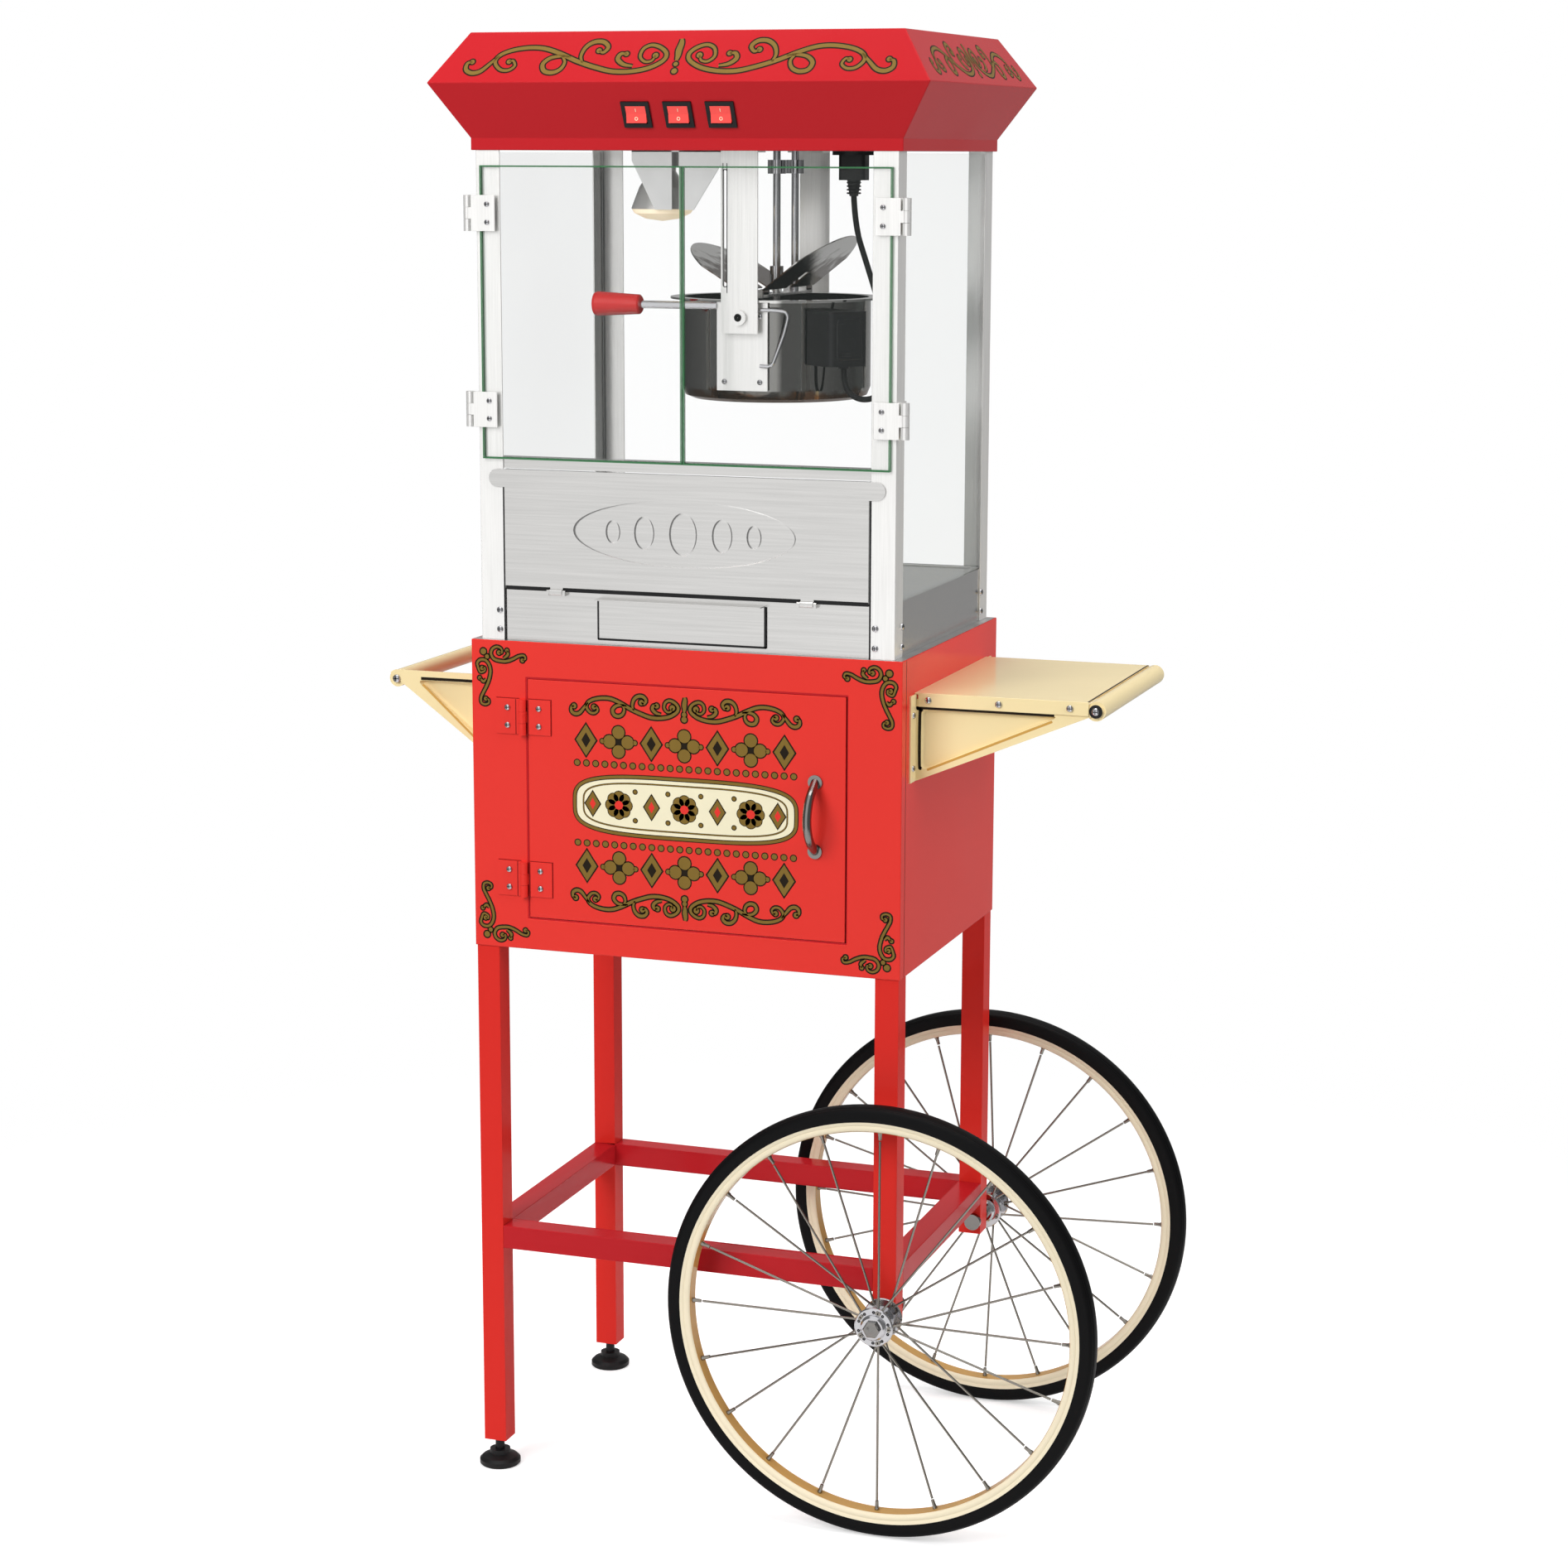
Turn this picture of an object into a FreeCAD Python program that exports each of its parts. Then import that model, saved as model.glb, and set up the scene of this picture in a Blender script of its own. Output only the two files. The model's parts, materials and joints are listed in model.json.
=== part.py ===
import FreeCAD
import Part
import math
import os

Vec = FreeCAD.Vector

# Popcorn cart, in millimetres. While building, x runs right, y runs back, z runs up from
# the floor and the middle of the cart box is x = 0, y = 0. The front faces -y. The last
# step moves everything in x so that the middle of the whole part lies at x = 0.

# Cart box and frame
cart_half_w = 233.5
cart_half_d = 172.5
cart_bottom_z = 580.0
cart_h = 325.0
cart_sheet = 1.5
leg_tube = 25.0
leg_wall = 1.5
leg_long_z = 30.0
leg_plug = 14.0
leg_below_axle = 14.6
stretcher_z = 248.5
deck_sheet = 1.2

# Cart door, inset in the front of the box
door_left_margin = 62.5
door_right_margin = 58.5
door_low_margin = 34.5
door_top_margin = 39.0
door_gap = 2.0
door_depth = 15.0
door_sheet = 1.2
door_lip = 14.0
door_pin_side = 2.5
door_pin_out = 4.3
door_barrel_r = 4.0
door_hinge_h = 37.0
door_hinge_up = (22.2, 193.5)
door_leaf_w = 26.0
handle_in = 32.0
handle_up = 92.5
handle_len = 71.0
handle_out = 28.0
handle_r = 4.5

# Wheels
wheel_r = 228.6
axle_ahead = 4.5
wheel_out = 31.2
tyre_w = 24.0
tyre_h = 10.4
rim_w = 21.0
rim_h = 12.0
rim_wall = 2.0
spoke_n = 20
spoke_r = 1.2
nipple_r = 2.0
nipple_len = 10.0
hub_len = 44.0
hub_barrel_r = 11.0
hub_cap_r = 13.3
hub_flange_r = 20.5
hub_flange_y = 16.0
hub_flange_t = 3.0
axle_r = 5.0
shaft_fit = 0.05
face_gap = 0.3

# Levelling feet
foot_pad_r = 22.0
foot_pad_h = 9.0
foot_stem_r = 5.0

# Shelf on the right, push handle on the left
shelf_drop = 37.0
shelf_side_in = 41.5
shelf_sheet = 1.5
shelf_len = 179.5
shelf_tube_out = 7.0
shelf_tube_r = 10.0
shelf_tube_drop = 9.0
shelf_skirt = 14.0
bracket_t = 1.5
bracket_h = 90.0
bracket_flange = 18.0
bracket_tip_r = 9.5
bar_out = 106.5
bar_drop = 16.5
bar_r = 9.0

# Cabinet
cab_side_in = 10.0
cab_front_in = 5.7
post_w = 26.0
post_t = 1.5
post_h = 515.0
pan_sheet = 1.2
rail_up = 56.0
rail_flange = 12.0
glass_t = 4.0
glass_seat = 2.0
deck_t = 1.5
drawer_mid_x = -3.5
drawer_w = 179.0
drawer_up = 7.0
drawer_h = 41.0
drawer_depth = 230.0
flap_side_in = 27.5
flap_up = 1.0
flap_h = 119.5
flap_sheet = 1.2
flap_return = 9.0
flap_pin_out = 2.2
flap_pin_drop = 4.0
flap_pin_r = 1.5
flap_eye_r = 3.2
flap_tabs = (-139.0, 132.0)
flap_tab_w = 14.0
flap_ear_in = 10.5
flap_ear_h = 18.5
rail_gap = 1.1
rail_h = 11.4

# Glass doors
pane_overlap = 2.0
pane_h = 295.0
pane_side_in = 5.5
pane_mid_gap = 0.6
hinge_h = 36.0
hinge_up = (32.0, 229.5)
hinge_out = 8.8
hinge_ahead = 1.2
hinge_barrel_r = 4.5
hinge_pin_r = 1.6
hinge_leaf_in = 22.5
hinge_sheet = 1.5

# Roof: how far it hangs over the posts, the height of each band and how far each fold stands out
roof_overlap = 18.0
roof_skirt_h = 12.0
roof_lower_h = 54.0
roof_upper_h = 50.0
roof_skirt_out = (4.5, 1.7)
roof_lower_out = (35.0, 27.5)
roof_upper_in = (35.0, 31.0)
roof_sheet = 1.5
ledge_w = 38.0
ledge_t = 1.2
ceiling_t = 1.2
ceiling_flange = 18.0
mains_gland_x = 150.0
mains_gland_up = 27.0
mains_gland_r = 7.0

# Switches on the front lower slant
switch_x = (-43.2, 1.2, 45.6)
switch_up = 23.2
bezel_w = 29.5
bezel_h = 27.5
bezel_t = 2.0
housing_w = 25.6
housing_h = 23.6
housing_d = 14.0
cavity_w = 21.6
cavity_h = 19.0
rocker_w = 21.0
rocker_h = 17.0
rocker_tilt = 10.0

# Kettle and its drive
kettle_x = 40.0
kettle_r = 98.0
kettle_wall = 2.0
kettle_below = 87.0
kettle_above = 17.0
kettle_rim_out = 12.0
kettle_rim_t = 2.0
pivot_drop = 165.0
stud_r = 6.0
hanger_w = 39.0
hanger_t = 2.0
hanger_gap = 2.0
hanger_below = 16.0
side_plate_w = 54.4
side_plate_t = 2.0
side_plate_gap = 5.0
side_plate_below = 74.0
stirrer_pin_r = 3.0
hook_r = 2.0
hook_route = ((19.0, 7.5), (35.0, 7.6), (51.0, 6.0), (46.0, -15.0), (32.5, -49.0), (20.0, -48.5))
knob_r = 9.5
knob_h = 14.0
knob_drop = 23.0
lid_eye_y = 68.0
lid_eye_len = 16.0
rod_r = 3.9
claw_r = 7.0
claw_up = 26.0
claw_slot = 4.0
tongue_t = 3.0
crossbar_half_y = 88.0
crossbar_half_x = 8.0
crossbar_gap = 1.0
crossbar_t = 2.5
lid_axis_x = 10.0
lid_axis_up = 6.0
lid_r = 100.0
lid_half_y = 80.0
lid_sheet = 1.2
lid_pin_r = 1.5
lid_eye_r = 3.0
lid_notch_w = 15.0
lid_notch_d = 30.0
lid_open_right = 38.0
lid_open_left = 31.0
steady_y = 58.0
tip_rod_up = 11.0
tip_rod_len = 82.8
tip_rod_r = 3.9
grip_len = 51.0
grip_r0 = 12.5
grip_r1 = 10.0
heater_turn = -40.0
heater_gap = 0.4
heater_reach = 45.0
heater_w = 45.0
heater_below = 48.0
heater_above = 7.0

# Kettle cord from the outlet in the ceiling to the heater box
outlet_x = 130.0
outlet_y = -20.0
outlet_t = 4.0
plug_h = 25.0
plug_relief = 16.0
cord_r = 3.0
cord_end_gap = 0.15
cord_fall = ((3.0, -4.0, -31.0), (20.0, -18.0, -67.0), (41.0, -36.0, -112.0))
gland_in = 10.0
gland_len = 2.0
loop_run = 18.0
loop_rise = 33.0

# Lamp
lamp_x = -63.0
lamp_y = -60.0
lamp_r = 32.0
lamp_drop = 71.0
lamp_socket_drop = 16.0
lamp_plate_drop = 59.0
lamp_plate_y = 35.0

# Tool that passes through everything it cuts
through = 2000.0

# Values that follow from the ones above
cart_top_z = cart_bottom_z + cart_h
leg_in_x = cart_half_w - cart_sheet - leg_tube
leg_in_y = cart_half_d - cart_sheet - leg_tube
door_x0 = -cart_half_w + door_left_margin
door_x1 = cart_half_w - door_right_margin
door_z0 = cart_bottom_z + door_low_margin
door_z1 = cart_top_z - door_top_margin
handle_x = door_x1 - handle_in
handle_z0 = door_z0 + handle_up
handle_z1 = handle_z0 + handle_len
wheel_x = leg_in_x + leg_tube / 2 + axle_ahead
wheel_plane_y = cart_half_d + wheel_out
wheel_z = wheel_r
shelf_top_z = cart_top_z - shelf_drop
shelf_half_d = cart_half_d - shelf_side_in
shelf_edge_x = cart_half_w + shelf_len
shelf_tube_x = shelf_edge_x + shelf_tube_out
shelf_tube_z = shelf_top_z - shelf_tube_drop
bracket_low_z = shelf_top_z - bracket_h
bar_x = -cart_half_w - bar_out
bar_z = shelf_top_z - bar_drop
cab_half_w = cart_half_w - cab_side_in
cab_half_d = cart_half_d - cab_front_in
post_top_z = cart_top_z + post_h
rail_top_z = cart_top_z + rail_up
drawer_x0 = drawer_mid_x - drawer_w / 2
drawer_x1 = drawer_mid_x + drawer_w / 2
drawer_z0 = cart_top_z + drawer_up
drawer_z1 = drawer_z0 + drawer_h
flap_half_w = cab_half_w - flap_side_in
flap_z0 = rail_top_z + flap_up
flap_z1 = flap_z0 + flap_h
flap_pin_y = -cab_half_d - flap_pin_out
flap_pin_z = rail_top_z - flap_pin_drop
flap_ear_x = cab_half_w - flap_ear_in
flap_ear_z = flap_z1 - flap_ear_h
rail_z0 = flap_z1 + rail_gap
rail_z1 = rail_z0 + rail_h
pane_z0 = rail_z1 - pane_overlap
pane_z1 = pane_z0 + pane_h
pane_edge_x = cab_half_w - pane_side_in
hinge_x = cab_half_w + hinge_out
hinge_y = -cab_half_d - hinge_ahead
hinge_leaf_x = cab_half_w - hinge_leaf_in
roof_low_z = post_top_z - roof_overlap
roof_fold_z = roof_low_z + roof_skirt_h
roof_wide_z = roof_fold_z + roof_lower_h
roof_top_z = roof_wide_z + roof_upper_h
roof_skirt = (cab_half_w + roof_skirt_out[0], cab_half_d + roof_skirt_out[1])
roof_wide = (roof_skirt[0] + roof_lower_out[0], roof_skirt[1] + roof_lower_out[1])
roof_top = (roof_wide[0] - roof_upper_in[0], roof_wide[1] - roof_upper_in[1])
glass_top_z = roof_low_z - glass_seat
switch_z = roof_fold_z + switch_up
mains_gland_z = roof_fold_z + mains_gland_up
pivot_z = roof_low_z - pivot_drop
kettle_z0 = pivot_z - kettle_below
kettle_z1 = pivot_z + kettle_above
kettle_rim_r = kettle_r + kettle_rim_out
hanger_y = kettle_rim_r + hanger_gap
hanger_low_z = pivot_z - hanger_below
side_plate_y = kettle_r + side_plate_gap
side_plate_z = pivot_z - side_plate_below
knob_z0 = roof_low_z - knob_drop
claw_z = pivot_z + claw_up
crossbar_z = kettle_z1 + crossbar_gap
lid_axis_z = crossbar_z + lid_axis_up
tip_rod_z = pivot_z + tip_rod_up
heater_in = kettle_r + heater_gap
heater_out = kettle_r + heater_reach
heater_z0 = pivot_z - heater_below
heater_z1 = pivot_z + heater_above
gland_at = heater_out - gland_in
plug_top_z = roof_low_z - outlet_t
plug_z0 = plug_top_z - plug_h
cord_top_z = plug_z0 - plug_relief
lamp_z0 = roof_low_z - lamp_drop
lamp_socket_z = roof_low_z - lamp_socket_drop
shelf_reach = shelf_tube_x + shelf_tube_r
frame_shift_x = -(bar_x - bracket_tip_r + max(wheel_x + wheel_r, shelf_reach)) / 2.0

nodes = {}


def box(x0, x1, y0, y1, z0, z1):
    """Block between two corners."""
    lo = Vec(min(x0, x1), min(y0, y1), min(z0, z1))
    return Part.makeBox(abs(x1 - x0), abs(y1 - y0), abs(z1 - z0), lo)


def rod(x, y, z, radius, length, axis):
    """Cylinder that starts at a point and runs along an axis."""
    return Part.makeCylinder(radius, length, Vec(x, y, z), Vec(*axis))


def cone(x, y, z, radius0, radius1, length, axis):
    """Tapered round bar that starts at a point and runs along an axis."""
    return Part.makeCone(radius0, radius1, length, Vec(x, y, z), Vec(*axis))


def join(shapes):
    """One solid from shapes that overlap or share faces."""
    return shapes[0].fuse(shapes[1:]).removeSplitter()


def extrude(points, run):
    """Flat outline pushed along a vector."""
    corners = [Vec(*p) for p in points]
    face = Part.Face(Part.makePolygon(corners + corners[:1]))
    return face.extrude(Vec(*run))


def turned(profile, centre, axis):
    """Outline of (radius, height) pairs turned about an axis through a point."""
    pts = [Vec(r, 0, h) for r, h in profile]
    face = Part.Face(Part.makePolygon(pts + pts[:1]))
    solid = face.revolve(Vec(0, 0, 0), Vec(0, 0, 1), 360)
    turn = FreeCAD.Rotation(Vec(0, 0, 1), Vec(*axis))
    solid.Placement = FreeCAD.Placement(Vec(*centre), turn)
    return solid


def mirrored(shape, normal):
    """Copy reflected through the plane x = 0 or y = 0."""
    return shape.mirror(Vec(0, 0, 0), Vec(*normal))


def rotated(shape, point, axis, degrees):
    """Copy turned about a line."""
    copy = shape.copy()
    copy.rotate(Vec(*point), Vec(*axis), degrees)
    return copy


def bent_tube(points, radius, name):
    """Round tube of straight runs joined by tangent arcs."""
    pts = [Vec(*p) for p in points]
    edges = []
    at = pts[0]
    least = 1e9
    for before, corner, after in zip(pts, pts[1:], pts[2:]):
        run_in = corner - before
        run_out = after - corner
        half = run_in.getAngle(run_out) / 2.0
        reach = 0.45 * min(run_in.Length, run_out.Length)
        least = min(least, reach / math.tan(half))
        start = corner - run_in.normalize() * reach
        end = corner + run_out.normalize() * reach
        inward = (start + end) * 0.5 - corner
        bend = reach / math.tan(half)
        centre = corner + inward.normalize() * math.hypot(reach, bend)
        middle = centre + (corner - centre).normalize() * bend
        edges.append(Part.makeLine(at, start))
        edges.append(Part.Arc(start, middle, end).toShape())
        at = end
    edges.append(Part.makeLine(at, pts[-1]))
    path = Part.Wire(edges)
    first = (pts[1] - pts[0]).normalize()
    ring = Part.Wire([Part.makeCircle(radius, pts[0], first)])
    tube = Part.BRepOffsetAPI.MakePipeShell(path)
    tube.add(ring)
    tube.setTransitionMode(1)
    tube.build()
    tube.makeSolid()
    solid = tube.shape()
    share = solid.Volume / (math.pi * radius ** 2 * path.Length)
    print(name, "least bend radius", round(least, 1), "length", round(path.Length, 1))
    print(name, "volume share", round(share, 3))
    return solid


def together(parts):
    """Several separate solids kept in one node."""
    return Part.makeCompound(parts)


def make_cart():
    """Box, decks, legs and stretchers."""
    w, d, t = cart_half_w, cart_half_d, cart_sheet
    shell = box(-w, w, -d, d, cart_bottom_z, cart_top_z)
    shell = shell.cut(box(-w + t, w - t, -d + t, d - t, cart_bottom_z, cart_top_z))
    opening = box(door_x0 - door_gap, door_x1 + door_gap, -d - 1, -d + t + 1,
                  door_z0 - door_gap, door_z1 + door_gap)
    nodes["cart_shell"] = shell.cut(opening)
    corner_x, corner_y = leg_in_x, leg_in_y
    floor = box(-w + t, w - t, -d + t, d - t, cart_bottom_z, cart_bottom_z + deck_sheet)
    for sx in (-1, 1):
        for sy in (-1, 1):
            floor = floor.cut(box(sx * corner_x, sx * w, sy * corner_y, sy * d, 0, cart_top_z))
    lid = box(-w + t, w - t, -d + t, d - t, cart_top_z - deck_sheet, cart_top_z)
    nodes["cart_decks"] = together([floor, lid])
    legs = []
    for sx in (-1, 1):
        for sy in (-1, 1):
            z0 = leg_long_z if sx < 0 else wheel_z - leg_below_axle
            z1 = cart_top_z - deck_sheet
            x0, y0 = leg_in_x, leg_in_y
            leg = box(sx * x0, sx * (x0 + leg_tube), sy * y0, sy * (y0 + leg_tube), z0, z1)
            leg = leg.cut(box(sx * (x0 + leg_wall), sx * (x0 + leg_tube - leg_wall),
                              sy * (y0 + leg_wall), sy * (y0 + leg_tube - leg_wall), z0 + leg_plug, z1 + 1))
            mid_x = sx * (x0 + leg_tube / 2)
            mid_y = sy * (y0 + leg_tube / 2)
            if sx < 0:
                leg = leg.cut(rod(mid_x, mid_y, z0 - 1, foot_stem_r + shaft_fit, leg_plug + 2, (0, 0, 1)))
            else:
                leg = leg.cut(rod(wheel_x, sy * (y0 - 1), wheel_z, axle_r, leg_tube + 2, (0, sy, 0)))
            legs.append(leg)
    nodes["legs"] = together(legs)
    bars = []
    z0, z1, t = stretcher_z, stretcher_z + leg_tube, leg_wall
    for s in (-1, 1):
        y0, y1 = s * leg_in_y, s * (leg_in_y + leg_tube)
        bar = box(-leg_in_x, leg_in_x, y0, y1, z0, z1)
        bars.append(bar.cut(box(-leg_in_x, leg_in_x, y0 + s * t, y1 - s * t, z0 + t, z1 - t)))
        x0, x1 = s * leg_in_x, s * (leg_in_x + leg_tube)
        bar = box(x0, x1, -leg_in_y, leg_in_y, z0, z1)
        bars.append(bar.cut(box(x0 + s * t, x1 - s * t, -leg_in_y, leg_in_y, z0 + t, z1 - t)))
    nodes["stretchers"] = together(bars)


def make_feet():
    """Levelling feet under the long legs."""
    mid_x = -(leg_in_x + leg_tube / 2)
    for name, s in (("foot_front", -1), ("foot_back", 1)):
        mid_y = s * (leg_in_y + leg_tube / 2)
        low, top = foot_pad_h, leg_long_z + leg_plug + 6
        profile = [(0, 0), (foot_pad_r - 1.5, 0), (foot_pad_r, 1.5), (foot_pad_r, low - 3),
                   (foot_pad_r - 3, low), (11, low + 3), (11, low + 8), (foot_stem_r, low + 8),
                   (foot_stem_r, top), (0, top)]
        nodes[name] = turned(profile, (mid_x, mid_y, 0), (0, 0, 1))


def make_cart_door():
    """Inset pan door, its hinges and its bow handle."""
    face = -cart_half_d
    x0, x1, z0, z1, t = door_x0, door_x1, door_z0, door_z1, door_sheet
    pan = box(x0, x1, face, face + door_depth, z0, z1)
    pan = pan.cut(box(x0 + t, x1 - t, face + t, face + door_depth, z0 + t, z1 - t))
    lip = box(x0, x1, face + door_depth - t, face + door_depth, z0, z1)
    lip = lip.cut(box(x0 + door_lip, x1 - door_lip, face, 0, z0 + door_lip, z1 - door_lip))
    nodes["cart_door"] = join([pan, lip])
    pin_x, pin_y = door_x0 - door_gap - door_pin_side, face - door_pin_out
    third = door_hinge_h / 3.0
    fixed, moving = [], []
    for up in door_hinge_up:
        z = door_z0 + up
        plate0 = pin_x - door_barrel_r - 0.5
        leaf = box(plate0 - door_leaf_w, plate0, face - hinge_sheet, face, z, z + door_hinge_h)
        pieces = [leaf, rod(pin_x, pin_y, z, hinge_pin_r, door_hinge_h, (0, 0, 1))]
        for zk in (z, z + 2 * third):
            pieces.append(rod(pin_x, pin_y, zk, door_barrel_r, third, (0, 0, 1)))
            pieces.append(box(plate0 - 1, pin_x, face - hinge_sheet, face, zk, zk + third))
        fixed.append(join(pieces))
        plate1 = pin_x + door_barrel_r + 0.5
        leaf = box(plate1, plate1 + door_leaf_w, face - hinge_sheet, face, z, z + door_hinge_h)
        z2, h2 = z + third + 0.2, third - 0.4
        knuckle = rod(pin_x, pin_y, z2, door_barrel_r, h2, (0, 0, 1))
        arm = box(pin_x, plate1 + 1, face - hinge_sheet, face - face_gap, z2, z2 + h2)
        leaf = join([leaf, knuckle, arm])
        moving.append(leaf.cut(rod(pin_x, pin_y, z, hinge_pin_r + shaft_fit, door_hinge_h, (0, 0, 1))))
    nodes["cart_hinge_fixed_leaves"] = together(fixed)
    nodes["cart_door_leaves"] = together(moving)
    out, mid = face - handle_out, (handle_z0 + handle_z1) / 2
    points = [(handle_x, face, handle_z0), (handle_x, out + 8, handle_z0 + 14), (handle_x, out, mid),
              (handle_x, out + 8, handle_z1 - 14), (handle_x, face, handle_z1)]
    bow = bent_tube(points, handle_r, "door handle")
    bow = bow.cut(box(handle_x - 20, handle_x + 20, face, face + 20, handle_z0 - 20, handle_z1 + 20))
    rings = [rod(handle_x, face, z, handle_r + 3, 2.0, (0, -1, 0)) for z in (handle_z0, handle_z1)]
    nodes["cart_door_handle"] = join([bow] + rings)


def make_wheel(name, s):
    """Tyre, rim, spokes, hub and axle on the front (s = -1) or back (s = 1) of the frame."""
    centre = (wheel_x, s * wheel_plane_y, wheel_z)
    out = (0, s, 0)
    half, band = tyre_w / 2, rim_w / 2
    seat = wheel_r - tyre_h
    tyre = [(seat - 4, -band + rim_wall), (seat, -band + rim_wall), (seat, -band), (seat + 2.5, -half + 0.4),
            (seat + 5, -half), (seat + 7.4, -half + 2), (wheel_r - 0.8, -half / 2), (wheel_r, 0),
            (wheel_r - 0.8, half / 2), (seat + 7.4, half - 2), (seat + 5, half), (seat + 2.5, half - 0.4),
            (seat, band), (seat, band - rim_wall), (seat - 4, band - rim_wall)]
    nodes["tyre_" + name] = turned(tyre, centre, out)
    low = seat - rim_h
    well = seat - 4 - rim_wall
    rim = [(low, -4), (low + 2, -band + 1), (low + 3, -band), (seat, -band), (seat, -band + rim_wall),
           (seat - 4, -band + rim_wall), (seat - 4, band - rim_wall), (seat, band - rim_wall), (seat, band),
           (low + 3, band), (low + 2, band - 1), (low, 4)]
    hollow = [(low + 2, -4), (well, -band + 3), (well, band - 3), (low + 2, 4)]
    nodes["rim_" + name] = turned(rim, centre, out).cut(turned(hollow, centre, out))
    spokes = []
    for k in range(spoke_n):
        side = 1 if k % 2 else -1
        angle = math.radians(360.0 / spoke_n * k)
        lean = math.radians(14.0 if (k // 2) % 2 else -14.0)
        r0 = hub_flange_r - 4
        y0 = side * (hub_flange_y - hub_flange_t / 2 - spoke_r - 0.4)
        start = Vec(r0 * math.cos(angle + lean), 0, r0 * math.sin(angle + lean))
        end = Vec((low - 0.05) * math.cos(angle), 0, (low - 0.05) * math.sin(angle))
        a = Vec(*centre) + start + Vec(0, s * y0, 0)
        b = Vec(*centre) + end
        run = b - a
        radial = Vec(math.cos(angle), 0, math.sin(angle))
        spoke = Part.makeCylinder(spoke_r, run.Length - nipple_len / 2, a, run)
        nipple = Part.makeCylinder(nipple_r, nipple_len, b - radial * nipple_len, radial)
        spokes.append(spoke.fuse(nipple).removeSplitter())
    nodes["spokes_" + name] = together(spokes)
    bore = axle_r + shaft_fit
    end = hub_len / 2
    f0, f1 = hub_flange_y - hub_flange_t / 2, hub_flange_y + hub_flange_t / 2
    hub = [(bore, -end), (hub_cap_r - 2, -end), (hub_cap_r, -end + 2), (hub_cap_r, -f1),
           (hub_flange_r - 1, -f1), (hub_flange_r, -f1 + 1), (hub_flange_r, -f0 - 1),
           (hub_flange_r - 1, -f0), (hub_barrel_r, -f0),
           (hub_barrel_r, f0), (hub_flange_r - 1, f0), (hub_flange_r, f0 + 1), (hub_flange_r, f1 - 1),
           (hub_flange_r - 1, f1), (hub_cap_r, f1), (hub_cap_r, end - 2), (hub_cap_r - 2, end), (bore, end)]
    nodes["hub_" + name] = turned(hub, centre, out)


def make_axles():
    """Stub axles: head inside the leg, collar against the leg, nut outside the hub."""
    stubs = []
    inner, outer = leg_in_y, leg_in_y + leg_tube
    hub0 = wheel_plane_y - hub_len / 2 - face_gap
    hub1 = wheel_plane_y + hub_len / 2 + face_gap
    for s in (-1, 1):
        profile = [(0, inner - 6), (9, inner - 6), (9, inner), (axle_r, inner), (axle_r, outer), (9, outer),
                   (9, hub0), (axle_r, hub0), (axle_r, hub1), (8, hub1), (8, hub1 + 3), (0, hub1 + 4.5)]
        stubs.append(turned(profile, (wheel_x, 0, wheel_z), (0, s, 0)))
    nodes["axles"] = together(stubs)


def bracket(wall_x, top_z, tip_x, tip_z, tip_r):
    """Pressed triangle with a round tip and a flange against the box, for the front (-y) side."""
    s = 1 if wall_x > 0 else -1
    y_in = -(shelf_half_d - shelf_sheet - bracket_t)
    run = (0, -bracket_t, 0)
    low = (tip_x + s * tip_r * 0.5, y_in, tip_z - tip_r * 0.86)
    web = extrude([(wall_x, y_in, top_z), (tip_x, y_in, top_z), low, (wall_x + s * 8, y_in, bracket_low_z),
                   (wall_x, y_in, bracket_low_z)], run)
    tip = rod(tip_x, y_in, tip_z, tip_r, bracket_t, (0, -1, 0))
    y_out = y_in - bracket_t
    flange = box(wall_x, wall_x + s * bracket_t, y_in, y_out - bracket_flange, bracket_low_z, top_z)
    return join([web, tip, flange])


def make_sides():
    """Shelf on the right and push handle on the left."""
    x0, x1 = cart_half_w, shelf_edge_x
    top, t, half = shelf_top_z, shelf_sheet, shelf_half_d
    sheet = [box(x0, x1, -half, half, top - t, top)]
    for s in (-1, 1):
        sheet.append(box(x0 + 4, x1, s * (half - t), s * half, top - shelf_skirt, top))
    nodes["shelf_sheet"] = join(sheet)
    inner = half - t - bracket_t
    tube = rod(shelf_tube_x, -inner, shelf_tube_z, shelf_tube_r, 2 * inner, (0, 1, 0))
    grip = rod(bar_x, -inner, bar_z, bar_r, 2 * inner, (0, 1, 0))
    nodes["side_bars"] = together([tube, grip])
    right = bracket(cart_half_w, shelf_top_z - shelf_sheet, shelf_tube_x, shelf_tube_z, bracket_tip_r - 2)
    left = bracket(-cart_half_w, bar_z + bracket_tip_r, bar_x, bar_z, bracket_tip_r)
    backs = [mirrored(one, (0, 1, 0)) for one in (right, left)]
    nodes["side_brackets"] = together([right, left] + backs)


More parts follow.
